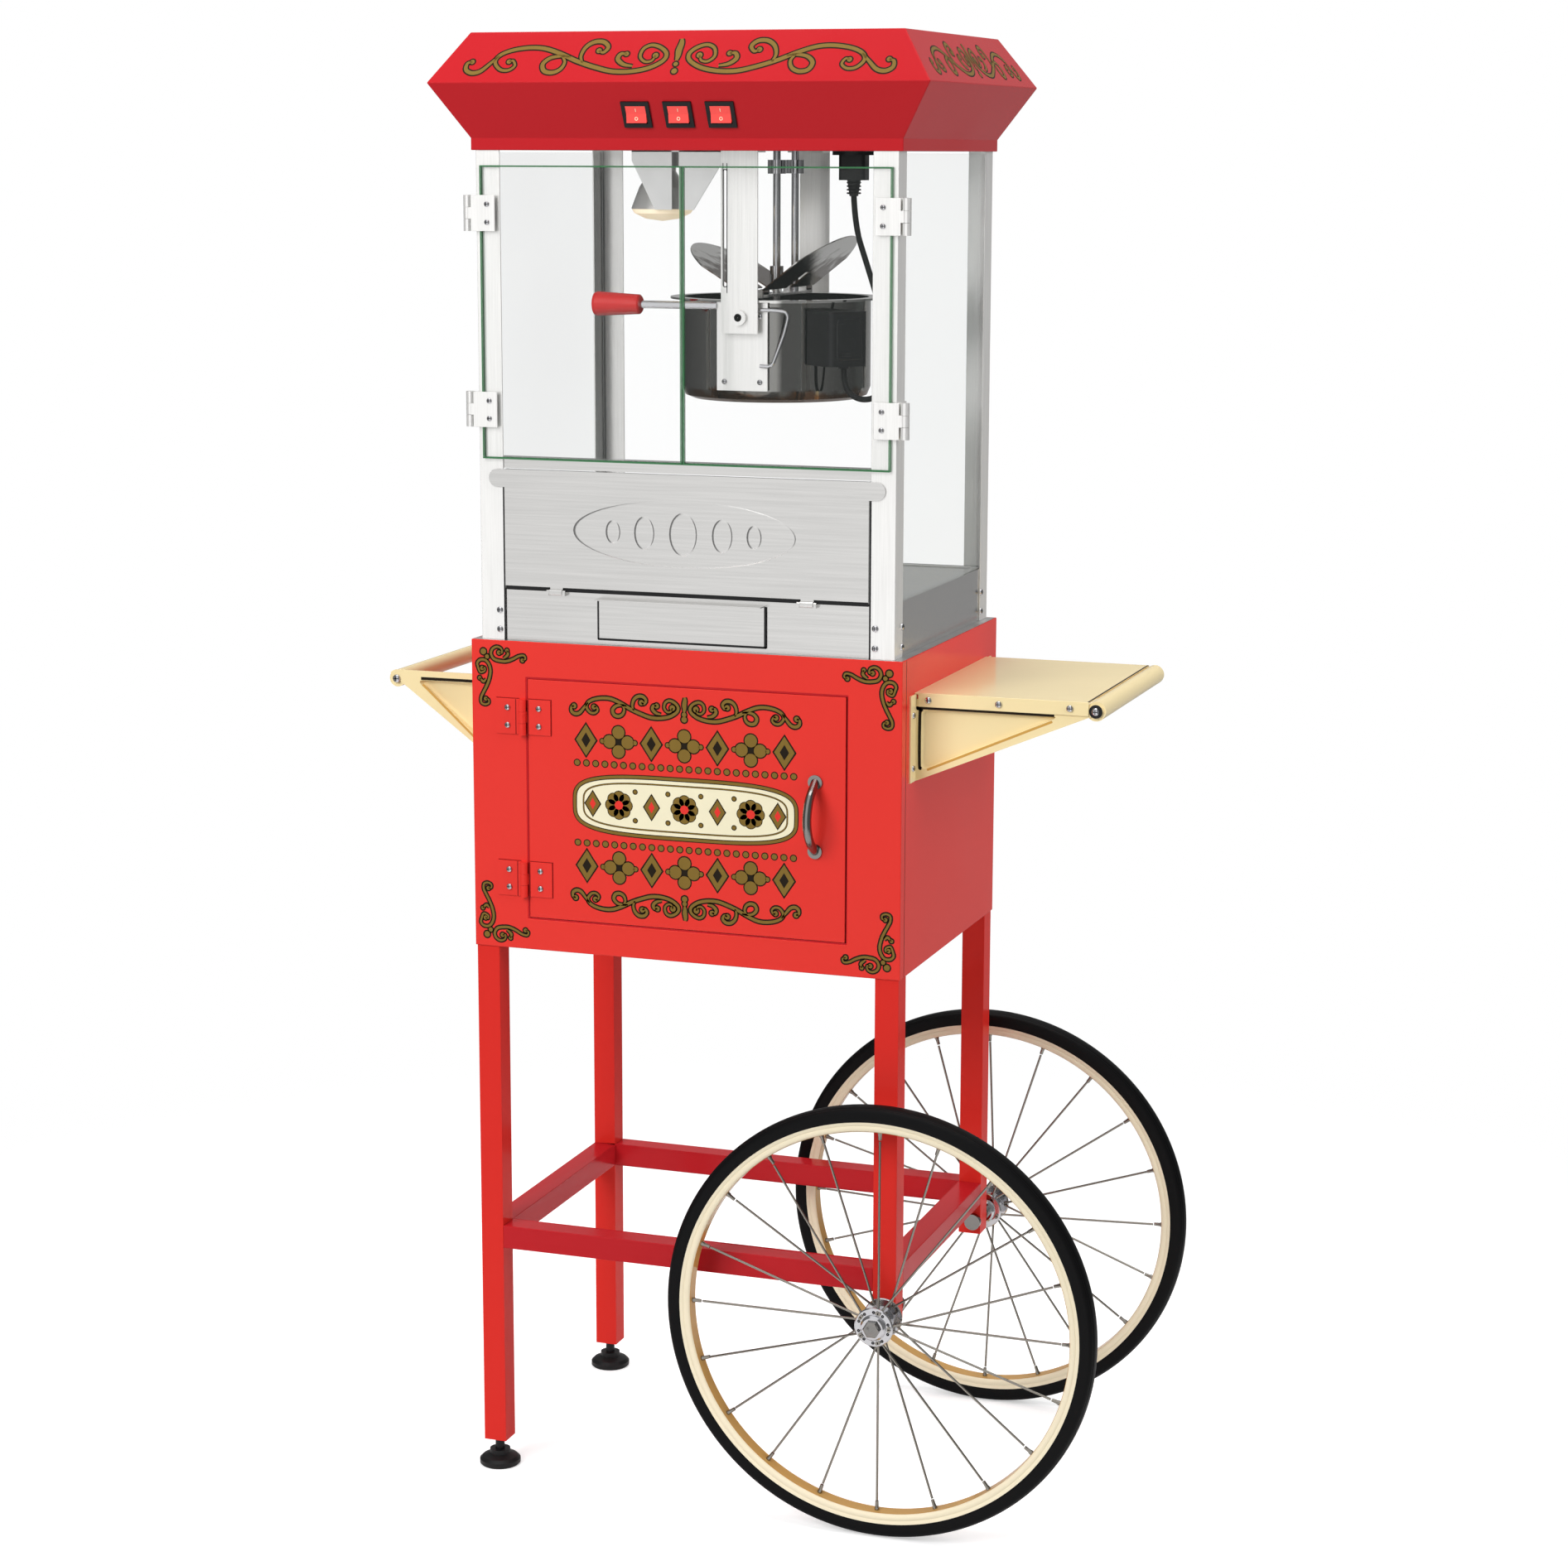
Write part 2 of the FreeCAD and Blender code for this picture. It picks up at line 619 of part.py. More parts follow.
def make_cabinet():
    """Posts, pan, deck, fixed panes, front panel and front rail."""
    w, d, t = cab_half_w, cab_half_d, post_t
    posts = []
    for sx in (-1, 1):
        for sy in (-1, 1):
            post = box(sx * (w - post_w), sx * w, sy * (d - post_w), sy * d, cart_top_z, post_top_z)
            posts.append(post.cut(box(sx * (w - post_w), sx * (w - t), sy * (d - post_w), sy * (d - t),
                                      0, through)))
    nodes["corner_posts"] = together(posts)
    x, y, s = w - t, d - t, pan_sheet
    pan = box(-x, x, -y, y, cart_top_z, rail_top_z)
    pan = pan.cut(box(-x + s, x - s, -y - 1, y - s, cart_top_z + s, rail_top_z - s))
    pan = pan.cut(box(-x + rail_flange, x - rail_flange, -y - 1, y - rail_flange, cart_top_z + s, rail_top_z))
    nodes["base_pan"] = pan
    panes = [box(-x, -x + glass_t, -y + glass_t, y - glass_t, rail_top_z, glass_top_z),
             box(x - glass_t, x, -y + glass_t, y - glass_t, rail_top_z, glass_top_z),
             box(-x, x, y - glass_t, y, rail_top_z, glass_top_z)]
    nodes["fixed_glass"] = together(panes)
    deck_z = rail_top_z - s - deck_t
    deck = box(-x + s, x - s, -y + s, y - s, deck_z, deck_z + deck_t)
    for row in (-60.0, 40.0):
        for k in range(9):
            cx = -120.0 + 30.0 * k
            deck = deck.cut(box(cx - 4, cx + 4, row - 35, row + 35, deck_z - 1, deck_z + 5))
    nodes["deck_plate"] = deck
    panel = box(-x + s, x - s, -y, -y + s, cart_top_z + s, deck_z)
    flange = box(-x + s, x - s, -y, -y + rail_flange, deck_z - s, deck_z)
    panel = join([panel, flange])
    panel = panel.cut(box(drawer_x0 + 3, drawer_x1 - 3, -y - 1, -y + s + 1, drawer_z0 + 2, drawer_z1 - 2))
    parts = [panel]
    for cx in flap_tabs:
        reach = flap_tab_w / 2 + 3.3
        parts.append(rod(cx - reach, flap_pin_y, flap_pin_z, flap_pin_r, 2 * reach, (1, 0, 0)))
        for s2 in (-1, 1):
            lug_x = cx + s2 * (flap_tab_w / 2 + face_gap)
            lug = box(lug_x, lug_x + s2 * 3, flap_pin_y - 2.5, -y + 0.5, flap_pin_z - 3.2, flap_pin_z + 1.2)
            parts.append(lug)
            parts.append(rod(lug_x, flap_pin_y, flap_pin_z, 2.5, 3, (s2, 0, 0)))
    rail = box(-x + glass_t + 0.2, x - glass_t - 0.2, -y, -y + pan_sheet, rail_z0, rail_z1)
    rail = join([rail, box(-x + 6, x - 6, -y, -y + 14, rail_z1 - pan_sheet, rail_z1)])
    nodes["front_panels"] = together([join(parts), rail])


def make_flap():
    """Drop-front with side returns, ears that stop on the posts and two hinge eyes."""
    face = -cab_half_d - face_gap
    y0, y1 = face - flap_sheet, face
    w = flap_half_w
    parts = [box(-w, w, y0, y1, flap_z0, flap_z1)]
    for s in (-1, 1):
        parts.append(box(s * w, s * (w - flap_sheet), y0, y0 + flap_return, flap_z0, flap_z1))
        end_r = (flap_z1 - flap_ear_z) / 2
        parts.append(box(s * (w - 1), s * (flap_ear_x - end_r), y0, y1, flap_ear_z, flap_z1))
        parts.append(rod(s * (flap_ear_x - end_r), y0, flap_z1 - end_r, end_r, flap_sheet, (0, 1, 0)))
    parts.append(box(-w, w, y0, y0 + flap_return - 3, flap_z1 - flap_sheet, flap_z1))
    for cx in flap_tabs:
        parts.append(box(cx - flap_tab_w / 2, cx + flap_tab_w / 2, y0, y1, flap_pin_z, flap_z0 + 4))
        parts.append(rod(cx - flap_tab_w / 2, flap_pin_y, flap_pin_z, flap_eye_r, flap_tab_w, (1, 0, 0)))
    flap = join(parts)
    for cx in flap_tabs:
        flap = flap.cut(rod(cx - 20, flap_pin_y, flap_pin_z, flap_pin_r + shaft_fit, 40, (1, 0, 0)))
    nodes["drop_front"] = flap


def make_drawer():
    """Kernel drawer: tray behind a front plate with a turned lip."""
    face = -cab_half_d + post_t
    x0, x1, z0, z1, t = drawer_x0, drawer_x1, drawer_z0, drawer_z1, pan_sheet
    plate = box(x0, x1, face - t - face_gap, face - face_gap, z0, z1)
    lip = box(x0, x1, face - 13, face - face_gap, z1 - t, z1)
    tray_z = z0 + 4
    tray = box(x0 + 5, x1 - 5, face - face_gap, face + drawer_depth, tray_z, z1 - 6)
    tray = tray.cut(box(x0 + 5 + t, x1 - 5 - t, face, face + drawer_depth - t, tray_z + t, z1))
    nodes["kernel_drawer"] = join([plate, lip, tray])


def make_glass_doors():
    """Two hinged panes with a leaf hinge at the top and bottom of each."""
    back = -cab_half_d - face_gap
    front = back - glass_t
    third = hinge_h / 3.0
    fixed = []
    for name, s in (("left", -1), ("right", 1)):
        nodes["glass_door_" + name] = box(s * pane_mid_gap, s * pane_edge_x, front, back, pane_z0, pane_z1)
        moving = []
        px = s * hinge_x
        for up in hinge_up:
            z = pane_z0 + up
            post_x = s * cab_half_w
            side = box(post_x, post_x + s * hinge_sheet, hinge_y + 1.5, hinge_y + 28, z, z + hinge_h)
            pieces = [side, rod(px, hinge_y, z, hinge_pin_r, hinge_h, (0, 0, 1))]
            for zk in (z, z + 2 * third):
                pieces.append(rod(px, hinge_y, zk, hinge_barrel_r, third, (0, 0, 1)))
                pieces.append(box(post_x, px - s * 2.4, hinge_y + 1.5, hinge_y + 3.0, zk, zk + third))
            fixed.append(join(pieces))
            plate_x = px - s * (hinge_barrel_r + 0.5)
            leaf = box(s * hinge_leaf_x, plate_x, front - hinge_sheet, front, z, z + hinge_h)
            z2, h2 = z + third + 0.2, third - 0.4
            knuckle = rod(px, hinge_y, z2, hinge_barrel_r, h2, (0, 0, 1))
            arm = box(plate_x - s, px - s * 1.8, front - hinge_sheet, front, z2, z2 + h2)
            leaf = join([leaf, knuckle, arm])
            moving.append(leaf.cut(rod(px, hinge_y, z, hinge_pin_r + shaft_fit, hinge_h, (0, 0, 1))))
        nodes["glass_door_" + name + "_leaves"] = together(moving)
    nodes["glass_hinge_fixed_leaves"] = together(fixed)


def frustum(half0, z0, half1, z1, inset):
    """Four-sided taper between two levels, with both half sizes reduced by an inset."""
    rings = []
    for half, z in ((half0, z0), (half1, z1)):
        x, y = half[0] - inset, half[1] - inset
        pts = [Vec(-x, -y, z), Vec(x, -y, z), Vec(x, y, z), Vec(-x, y, z), Vec(-x, -y, z)]
        rings.append(Part.makePolygon(pts))
    return Part.makeLoft(rings, True, True)


def roof_body(inset, top_z):
    """Filled outline of the roof, reduced all round by an inset."""
    share = (top_z - roof_wide_z) / (roof_top_z - roof_wide_z)
    top = [a + (b - a) * share for a, b in zip(roof_wide, roof_top)]
    return join([frustum(roof_skirt, roof_low_z, roof_skirt, roof_fold_z, inset),
                 frustum(roof_skirt, roof_fold_z, roof_wide, roof_wide_z, inset),
                 frustum(roof_wide, roof_wide_z, top, top_z, inset)])


def slant_place():
    """Placement with z out of the front lower slant and y up along it, at the switch height."""
    rise = roof_wide_z - roof_fold_z
    run = roof_wide[1] - roof_skirt[1]
    angle = math.degrees(math.atan2(run, rise))
    share = (switch_z - roof_fold_z) / rise
    y = -(roof_skirt[1] + share * run)
    return y, 90.0 + angle


def on_slant(shape, x):
    """Copy moved from the flat drawing plane to a switch place on the roof."""
    y, turn = slant_place()
    copy = shape.copy()
    place = FreeCAD.Placement(Vec(x, y, switch_z), FreeCAD.Rotation(Vec(1, 0, 0), turn))
    copy.Placement = place.multiply(shape.Placement)
    return copy


def centred(wide, high, z0, z1):
    """Block centred on the z axis."""
    return box(-wide / 2, wide / 2, -high / 2, high / 2, z0, z1)


def make_roof():
    """Canopy, ceiling panel, switches and cord gland."""
    shell = roof_body(0.0, roof_top_z).cut(roof_body(roof_sheet, roof_top_z - roof_sheet))
    ledge = roof_body(roof_sheet / 2, roof_top_z - roof_sheet)
    ledge = ledge.common(box(-through, through, -through, through, post_top_z, post_top_z + ledge_t))
    x, y = roof_skirt[0] - ledge_w, roof_skirt[1] - ledge_w
    ledge = ledge.cut(box(-x, x, -y, y, 0, through))
    shell = join([shell, ledge])
    cut_out = centred(housing_w + 0.4, housing_h + 0.4, -6, 6)
    for x in switch_x:
        shell = shell.cut(on_slant(cut_out, x))
    gx, gz, gr = mains_gland_x, mains_gland_z, mains_gland_r
    gy = roof_skirt[1] + roof_lower_out[1] * mains_gland_up / roof_lower_h
    shell = shell.cut(rod(gx, gy - 20, gz, gr + 0.2, 40, (0, 1, 0)))
    nodes["roof_canopy"] = shell
    neck = rod(gx, gy - 12, gz, gr, 19, (0, 1, 0))
    collar = rod(gx, gy + 5.4, gz, gr + 3, 5, (0, 1, 0))
    nodes["cord_gland"] = join([neck, collar])
    x, y, t = cab_half_w - post_t, cab_half_d - post_t, ceiling_t
    panel = box(-x, x, -y, y, roof_low_z, roof_low_z + ceiling_flange)
    panel = panel.cut(box(-x + t, x - t, -y + t, y - t, roof_low_z + t, roof_low_z + 50))
    panel = panel.cut(rod(kettle_x, 0, roof_low_z - 1, 6, 5, (0, 0, 1)))
    panel = panel.cut(rod(outlet_x, outlet_y, roof_low_z - 1, 16.2, 5, (0, 0, 1)))
    nodes["ceiling_panel"] = panel
    bezels = []
    frame = centred(bezel_w, bezel_h, 0, bezel_t)
    housing = centred(housing_w, housing_h, -housing_d, bezel_t)
    bezel = join([frame, housing]).cut(centred(cavity_w, cavity_h, -housing_d + 2, bezel_t + 1))
    bezel = bezel.cut(rod(-housing_w / 2 + 0.8, 0, -2, 1.5 + shaft_fit, housing_w - 1.6, (1, 0, 0)))
    left, half, depth = -rocker_w / 2, rocker_h / 2, bezel_t + 1.2
    body = extrude([(left, -half, depth), (left, 0, depth - 1.6), (left, half, depth),
                    (left, half * 0.6, -8), (left, -half * 0.6, -8)], (rocker_w, 0, 0))
    pin = rod(-housing_w / 2 + 1.1, 0, -2, 1.5, housing_w - 2.2, (1, 0, 0))
    rocker = rotated(join([body, pin]), (0, 0, -2), (1, 0, 0), -rocker_tilt)
    for name, x in zip(("left", "middle", "right"), switch_x):
        bezels.append(on_slant(bezel, x))
        nodes["switch_rocker_" + name] = on_slant(rocker, x)
    nodes["switch_bezels"] = together(bezels)


def make_kettle():
    """Pot on its side plates, with heater box, tipping rod, grip and hook."""
    kx, r, z0, z1 = kettle_x, kettle_r, kettle_z0, kettle_z1
    inner = r - kettle_wall
    profile = [(0, z0), (r - 12, z0), (r - 3.5, z0 + 3.5), (r, z0 + 12), (r, z1 - kettle_rim_t),
               (kettle_rim_r, z1 - kettle_rim_t), (kettle_rim_r, z1), (inner, z1), (inner, z0 + 13),
               (inner - 3, z0 + 6), (inner - 11, z0 + 3), (stirrer_pin_r, z0 + 3),
               (stirrer_pin_r, z0 + 15), (0, z0 + 15)]
    nodes["kettle_pot"] = turned(profile, (kx, 0, 0), (0, 0, 1))
    plates = []
    half, y0 = side_plate_w / 2, side_plate_y
    for s in (-1, 1):
        plate = box(kx - half, kx + half, s * y0, s * (y0 + side_plate_t), side_plate_z, z1 - kettle_rim_t)
        stud = rod(kx, s * y0, pivot_z, stud_r, hanger_y + hanger_t + face_gap - y0, (0, s, 0))
        head = rod(kx, s * (hanger_y + hanger_t + face_gap), pivot_z, stud_r + 2, 4, (0, s, 0))
        plates.append(join([plate, stud, head]))
    nodes["kettle_side_plates"] = together(plates)
    start = kx - half
    tip_y = -(y0 + side_plate_t / 2)
    nodes["kettle_handle_rod"] = rod(start, tip_y, tip_rod_z, tip_rod_r, tip_rod_len, (-1, 0, 0))
    grip = [(0, 0), (grip_r1 - 1.5, 0), (grip_r1, 1.5), (grip_r0, grip_len - 4),
            (grip_r0 - 1, grip_len - 1.2), (grip_r0 - 4, grip_len), (0, grip_len)]
    nodes["kettle_grip"] = turned(grip, (start - tip_rod_len, tip_y, tip_rod_z), (-1, 0, 0))
    hook_y = -(y0 + side_plate_t + hook_r + 0.1)
    route = [(kx + x, hook_y, pivot_z + z) for x, z in hook_route]
    nodes["kettle_hook"] = bent_tube(route, hook_r, "kettle hook")
    block = box(heater_in, heater_out, -heater_w / 2, heater_w / 2, heater_z0, heater_z1)
    upright = [e for e in block.Edges if abs(e.Vertexes[0].Z - e.Vertexes[1].Z) > 1]
    block = block.makeFillet(6.0, [e for e in upright if e.Vertexes[0].X > heater_in + 1])
    gland = rod(gland_at, 0, heater_z0 - gland_len, 6.0, gland_len + 1, (0, 0, 1))
    heater = rotated(join([block, gland]), (0, 0, 0), (0, 0, 1), heater_turn)
    heater.translate(Vec(kx, 0, 0))
    nodes["kettle_heater_box"] = heater


def make_drive():
    """Hangers, motor, drive shaft, stirrer and steady rod."""
    kx = kettle_x
    hangers = []
    for s in (-1, 1):
        y0, y1 = s * hanger_y, s * (hanger_y + hanger_t)
        plate = box(kx - hanger_w / 2, kx + hanger_w / 2, y0, y1, hanger_low_z, roof_low_z)
        slot = box(kx - 16.6, kx - 13.4, y0 - s, y1 + s, pivot_z + 31, roof_low_z - 19)
        flange = box(kx - hanger_w / 2, kx + hanger_w / 2, s * (hanger_y - 22), y1,
                     roof_low_z - 1.5, roof_low_z)
        plate = join([plate.cut(slot), flange])
        hangers.append(plate.cut(rod(kx, s * (hanger_y - 3), pivot_z, stud_r + shaft_fit, 10, (0, s, 0))))
    nodes["kettle_hangers"] = together(hangers)
    gear_z = roof_low_z + ceiling_t
    gearbox = box(kx - 46, kx + 46, -36, 36, gear_z, gear_z + 32)
    motor = rod(kx + 8, 0, gear_z + 30, 31, 66, (0, 0, 1))
    gearbox = join([gearbox, motor])
    nodes["drive_motor"] = gearbox.cut(rod(kx, 0, gear_z - 1, rod_r + shaft_fit, 18, (0, 0, 1)))
    claw = rod(kx, 0, claw_z, claw_r, 22, (0, 0, 1))
    claw = claw.cut(box(kx - 10, kx + 10, -claw_slot / 2, claw_slot / 2, claw_z - 1, claw_z + 15))
    shaft = rod(kx, 0, claw_z + 18, rod_r, gear_z + 15 - claw_z - 18, (0, 0, 1))
    knob = rod(kx, 0, knob_z0, knob_r, knob_h, (0, 0, 1))
    nodes["drive_shaft"] = join([claw, shaft, knob])
    low = kettle_z0 + 3 + face_gap
    spindle = [(stirrer_pin_r + shaft_fit, low), (8, low), (8, low + 19), (rod_r, low + 22),
               (rod_r, claw_z - 1), (0, claw_z - 1), (0, kettle_z0 + 16),
               (stirrer_pin_r + shaft_fit, kettle_z0 + 16)]
    parts = [turned(spindle, (kx, 0, 0), (0, 0, 1))]
    parts.append(box(kx - 5, kx + 5, -tongue_t / 2, tongue_t / 2, claw_z - 4, claw_z + 13))
    for s in (-1, 1):
        blade = extrude([(kx + s * 6, -6, low + 4), (kx + s * 6, -3, low + 4), (kx + s * 6, 5, low + 16),
                         (kx + s * 6, 2, low + 16)], (s * 77, 0, 0))
        parts.append(blade)
    nodes["stirrer"] = join(parts)
    steady = rod(kx, steady_y, crossbar_z + crossbar_t, rod_r, roof_low_z - crossbar_z - crossbar_t, (0, 0, 1))
    nodes["steady_rod"] = join([steady, rod(kx, steady_y, knob_z0, knob_r, knob_h, (0, 0, 1))])


def make_lids():
    """Crossbar on the steady rod, with a hinged half lid on each side."""
    kx, hx, hy = kettle_x, crossbar_half_x, crossbar_half_y
    bar = box(kx - hx, kx + hx + 1, -hy, hy, crossbar_z, crossbar_z + crossbar_t)
    bar = bar.cut(box(kx - hx - 1, kx + 5.5, -lid_notch_w / 2, lid_notch_w / 2, 0, through))
    parts = [bar]
    for s in (-1, 1):
        for yc in (-lid_eye_y, lid_eye_y):
            ax = kx + s * lid_axis_x
            reach = lid_eye_len / 2 + face_gap + 3
            parts.append(rod(ax, yc - reach, lid_axis_z, lid_pin_r, 2 * reach, (0, 1, 0)))
            for s2 in (-1, 1):
                y0 = yc + s2 * (lid_eye_len / 2 + face_gap)
                parts.append(box(kx + s * 6, ax + s * 2.5, y0, y0 + s2 * 3, crossbar_z, lid_axis_z + 2.5))
    nodes["lid_crossbar"] = join(parts)
    axis = (kx + lid_axis_x, 0, lid_axis_z)
    disc = rod(kx, 0, lid_axis_z - lid_sheet / 2, lid_r, lid_sheet, (0, 0, 1))
    plate = disc.common(box(axis[0] + 3.6, kx + lid_r, -lid_half_y, lid_half_y, 0, through))
    eyes = []
    for yc in (-lid_eye_y, lid_eye_y):
        y0 = yc - lid_eye_len / 2
        eyes.append(rod(axis[0], y0, lid_axis_z, lid_eye_r, lid_eye_len, (0, 1, 0)))
        eyes.append(box(axis[0], axis[0] + 6, y0, y0 + lid_eye_len,
                        lid_axis_z - lid_sheet / 2, lid_axis_z + lid_sheet / 2))
    half = join([plate] + eyes)
    half = half.cut(box(axis[0], axis[0] + lid_notch_d, -lid_notch_w / 2, lid_notch_w / 2, 0, through))
    for yc in (-lid_eye_y, lid_eye_y):
        half = half.cut(rod(axis[0], yc - 30, lid_axis_z, lid_pin_r + shaft_fit, 60, (0, 1, 0)))
    nodes["kettle_lid_right"] = rotated(half, axis, (0, -1, 0), lid_open_right)
    left = rotated(half, axis, (0, -1, 0), lid_open_left)
    nodes["kettle_lid_left"] = left.mirror(Vec(kx, 0, 0), Vec(1, 0, 0))


def make_electrics():
    """Outlet, plug and cord of the kettle, and the lamp."""
    face = plug_top_z
    outlet = [rod(outlet_x, outlet_y, face, 22, outlet_t, (0, 0, 1)),
              rod(outlet_x, outlet_y, face, 16, 26, (0, 0, 1))]
    nodes["kettle_outlet"] = join(outlet)
    body = box(outlet_x - 14, outlet_x + 14, outlet_y - 10, outlet_y + 10, plug_z0, face)
    body = body.makeFillet(4.0, [e for e in body.Edges if abs(e.Vertexes[0].Z - e.Vertexes[1].Z) > 1])
    relief = cone(outlet_x, outlet_y, plug_z0, 7.0, 4.4, plug_relief, (0, 0, -1))
    nodes["kettle_plug"] = join([body, relief])
    turn = math.radians(heater_turn)
    gx, gy = kettle_x + gland_at * math.cos(turn), gland_at * math.sin(turn)
    end_z = heater_z0 - gland_len - cord_end_gap
    side = loop_run * math.sqrt(0.5)
    wide = loop_run + 2 * side
    loop_z = end_z - loop_run
    start = (outlet_x, outlet_y, cord_top_z)
    route = [start] + [tuple(a + b for a, b in zip(start, fall)) for fall in cord_fall]
    route += [(gx + wide - 1, gy + 12.5, loop_z + loop_rise), (gx + wide, gy + 5.5, loop_z),
              (gx + wide - side, gy + 2.5, loop_z - side), (gx + side, gy, loop_z - side),
              (gx, gy, loop_z), (gx, gy + 0.4, end_z)]
    nodes["kettle_cord"] = bent_tube(route, cord_r, "kettle cord")
    for point in route:
        print("cord point", [round(c, 2) for c in point])
    y0, y1, top = lamp_y - lamp_plate_y, lamp_y + lamp_plate_y, roof_low_z
    x0, x1, low = lamp_x - 20, lamp_x + 79, top - lamp_plate_drop
    front = extrude([(x0, y0, top), (x1, y0, top), (x1, y0, top - 10), (x1 - 32, y0, low), (x0 + 25, y0, low),
                     (x0, y0, top - 10)], (0, 1.2, 0))
    front = front.cut(box(lamp_x + 22.4, lamp_x + 32.4, y0 - 1, y0 + 3, low + 21, top - 10))
    flange = box(x0, x1, y0, y1, top - 1.2, top)
    holder = rod(lamp_x, lamp_y, lamp_socket_z, 18, lamp_socket_drop, (0, 0, 1))
    nodes["lamp_bracket"] = join([front, flange, holder])
    bulb = [(0, lamp_z0), (lamp_r * 0.55, lamp_z0 + 2.5), (lamp_r - 3, lamp_z0 + 8), (lamp_r, lamp_z0 + 13),
            (lamp_r - 1, lamp_z0 + 16), (lamp_r * 0.75, lamp_z0 + 34), (14, lamp_z0 + 50), (14, lamp_socket_z),
            (0, lamp_socket_z)]
    nodes["lamp_bulb"] = turned(bulb, (lamp_x, lamp_y, 0), (0, 0, 1))


make_cart()
make_feet()
make_cart_door()
make_wheel("front", -1)
make_wheel("back", 1)
make_axles()
make_sides()
make_cabinet()
make_flap()
make_drawer()
make_glass_doors()
make_roof()
make_kettle()
make_drive()
make_lids()
make_electrics()

os.makedirs("parts", exist_ok=True)
for name, shape in nodes.items():
    moved = shape.copy()
    moved.translate(Vec(frame_shift_x, 0, 0))
    sound = all(s.isValid() for s in moved.Solids)
    print(name, "solids", len(moved.Solids), "sound", sound, "volume", round(moved.Volume, 1))
    moved.exportStep(os.path.join("parts", name + ".step"))
print("nodes", len(nodes), "shift in x", frame_shift_x)
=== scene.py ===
# %% [markdown]
# # A popcorn cart
# A red enamelled cart carries a glass cabinet with a tilting kettle. The solids come from the
# frame, already in place and in metres. This lesson gives them rounded edges, real finishes,
# painted ornament and the small fasteners, and sets up a plain studio around them. Places that
# are written in millimetres count from the middle of the cart box.

# %% Load the frame
import json
import math
import bmesh
import bpy
import numpy as np
from mathutils import Matrix, Vector

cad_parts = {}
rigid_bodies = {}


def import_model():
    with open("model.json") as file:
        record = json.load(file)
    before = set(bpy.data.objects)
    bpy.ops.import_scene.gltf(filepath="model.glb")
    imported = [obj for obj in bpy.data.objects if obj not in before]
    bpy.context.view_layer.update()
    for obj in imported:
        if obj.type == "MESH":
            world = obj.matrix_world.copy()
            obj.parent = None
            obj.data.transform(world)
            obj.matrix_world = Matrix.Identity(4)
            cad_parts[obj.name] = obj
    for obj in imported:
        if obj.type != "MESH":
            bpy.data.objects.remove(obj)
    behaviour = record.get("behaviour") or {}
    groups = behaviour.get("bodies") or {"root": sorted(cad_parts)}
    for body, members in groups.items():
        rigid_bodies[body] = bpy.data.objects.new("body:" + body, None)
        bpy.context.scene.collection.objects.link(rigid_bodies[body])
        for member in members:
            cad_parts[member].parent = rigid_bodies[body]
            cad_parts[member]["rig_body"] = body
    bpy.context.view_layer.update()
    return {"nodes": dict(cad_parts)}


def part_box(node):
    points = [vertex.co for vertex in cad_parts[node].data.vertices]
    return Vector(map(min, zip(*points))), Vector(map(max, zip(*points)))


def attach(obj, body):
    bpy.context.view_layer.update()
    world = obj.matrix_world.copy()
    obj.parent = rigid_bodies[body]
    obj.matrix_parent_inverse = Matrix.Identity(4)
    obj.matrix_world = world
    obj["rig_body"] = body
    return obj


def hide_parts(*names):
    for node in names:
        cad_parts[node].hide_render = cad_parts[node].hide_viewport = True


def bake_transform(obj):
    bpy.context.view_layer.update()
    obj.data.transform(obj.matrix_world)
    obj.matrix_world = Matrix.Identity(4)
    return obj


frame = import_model()
middle_x = -0.05155
scene = bpy.context.scene

# %% [markdown]
# ## Camera
# The cart is seen from the right front and a little above. A camera could be set up by eye, but
# then the far edges drift apart. This one was fitted to the corners of the roof, the box and the
# wheels, so it sees the model in the perspective of the photograph.

# %% Camera
yaw, pitch, roll = 0.3348, 0.1854, 0.0028
camera_at = (1.19875 + middle_x, -3.30321, 1.39941)
focal_pixels, photo_width, sensor_width = 4036.5, 1893, 36.0
look = np.array([-math.sin(yaw) * math.cos(pitch), math.cos(yaw) * math.cos(pitch), -math.sin(pitch)])
side = np.array([math.cos(yaw), math.sin(yaw), 0.0])
above = np.cross(side, look)
right = math.cos(roll) * side + math.sin(roll) * above
up = -math.sin(roll) * side + math.cos(roll) * above
turn = Matrix((right, up, -look)).transposed().to_4x4()


def add_object(name, data):
    """Object with the given data, linked to the scene."""
    item = bpy.data.objects.new(name, data)
    scene.collection.objects.link(item)
    return item


camera = add_object("camera", bpy.data.cameras.new("camera"))
camera.matrix_world = Matrix.Translation(camera_at) @ turn
camera.data.sensor_width = sensor_width
camera.data.lens = sensor_width * focal_pixels / photo_width
scene.camera = camera
print("lens", round(camera.data.lens, 2), "mm")

# %% [markdown]
# ## Node helpers
# The world, the floor and every finish are made of shader nodes. Each node could be added and wired
# with several lines of its own. Here one function adds a node, wires it and hands on its outputs,
# and short ones name the kinds that come again, so that a material reads like a sum.

# %% Node helpers


def srgb(code):
    """Linear colour of a hex code: c / 12.92 below 0.04045, else ((c + 0.055) / 1.055) ** 2.4."""
    c = np.array([int(code[i:i + 2], 16) / 255 for i in (0, 2, 4)])
    c = np.where(c <= 0.04045, c / 12.92, ((c + 0.055) / 1.055) ** 2.4)
    return (*c.tolist(), 1.0)


def connect(tree, sockets, terms):
    """Feed sockets by label: a term is another socket, a number or a colour."""
    for label, term in terms.items():
        if isinstance(term, bpy.types.NodeSocket):
            tree.links.new(term, sockets[label])
        else:
            sockets[label].default_value = term


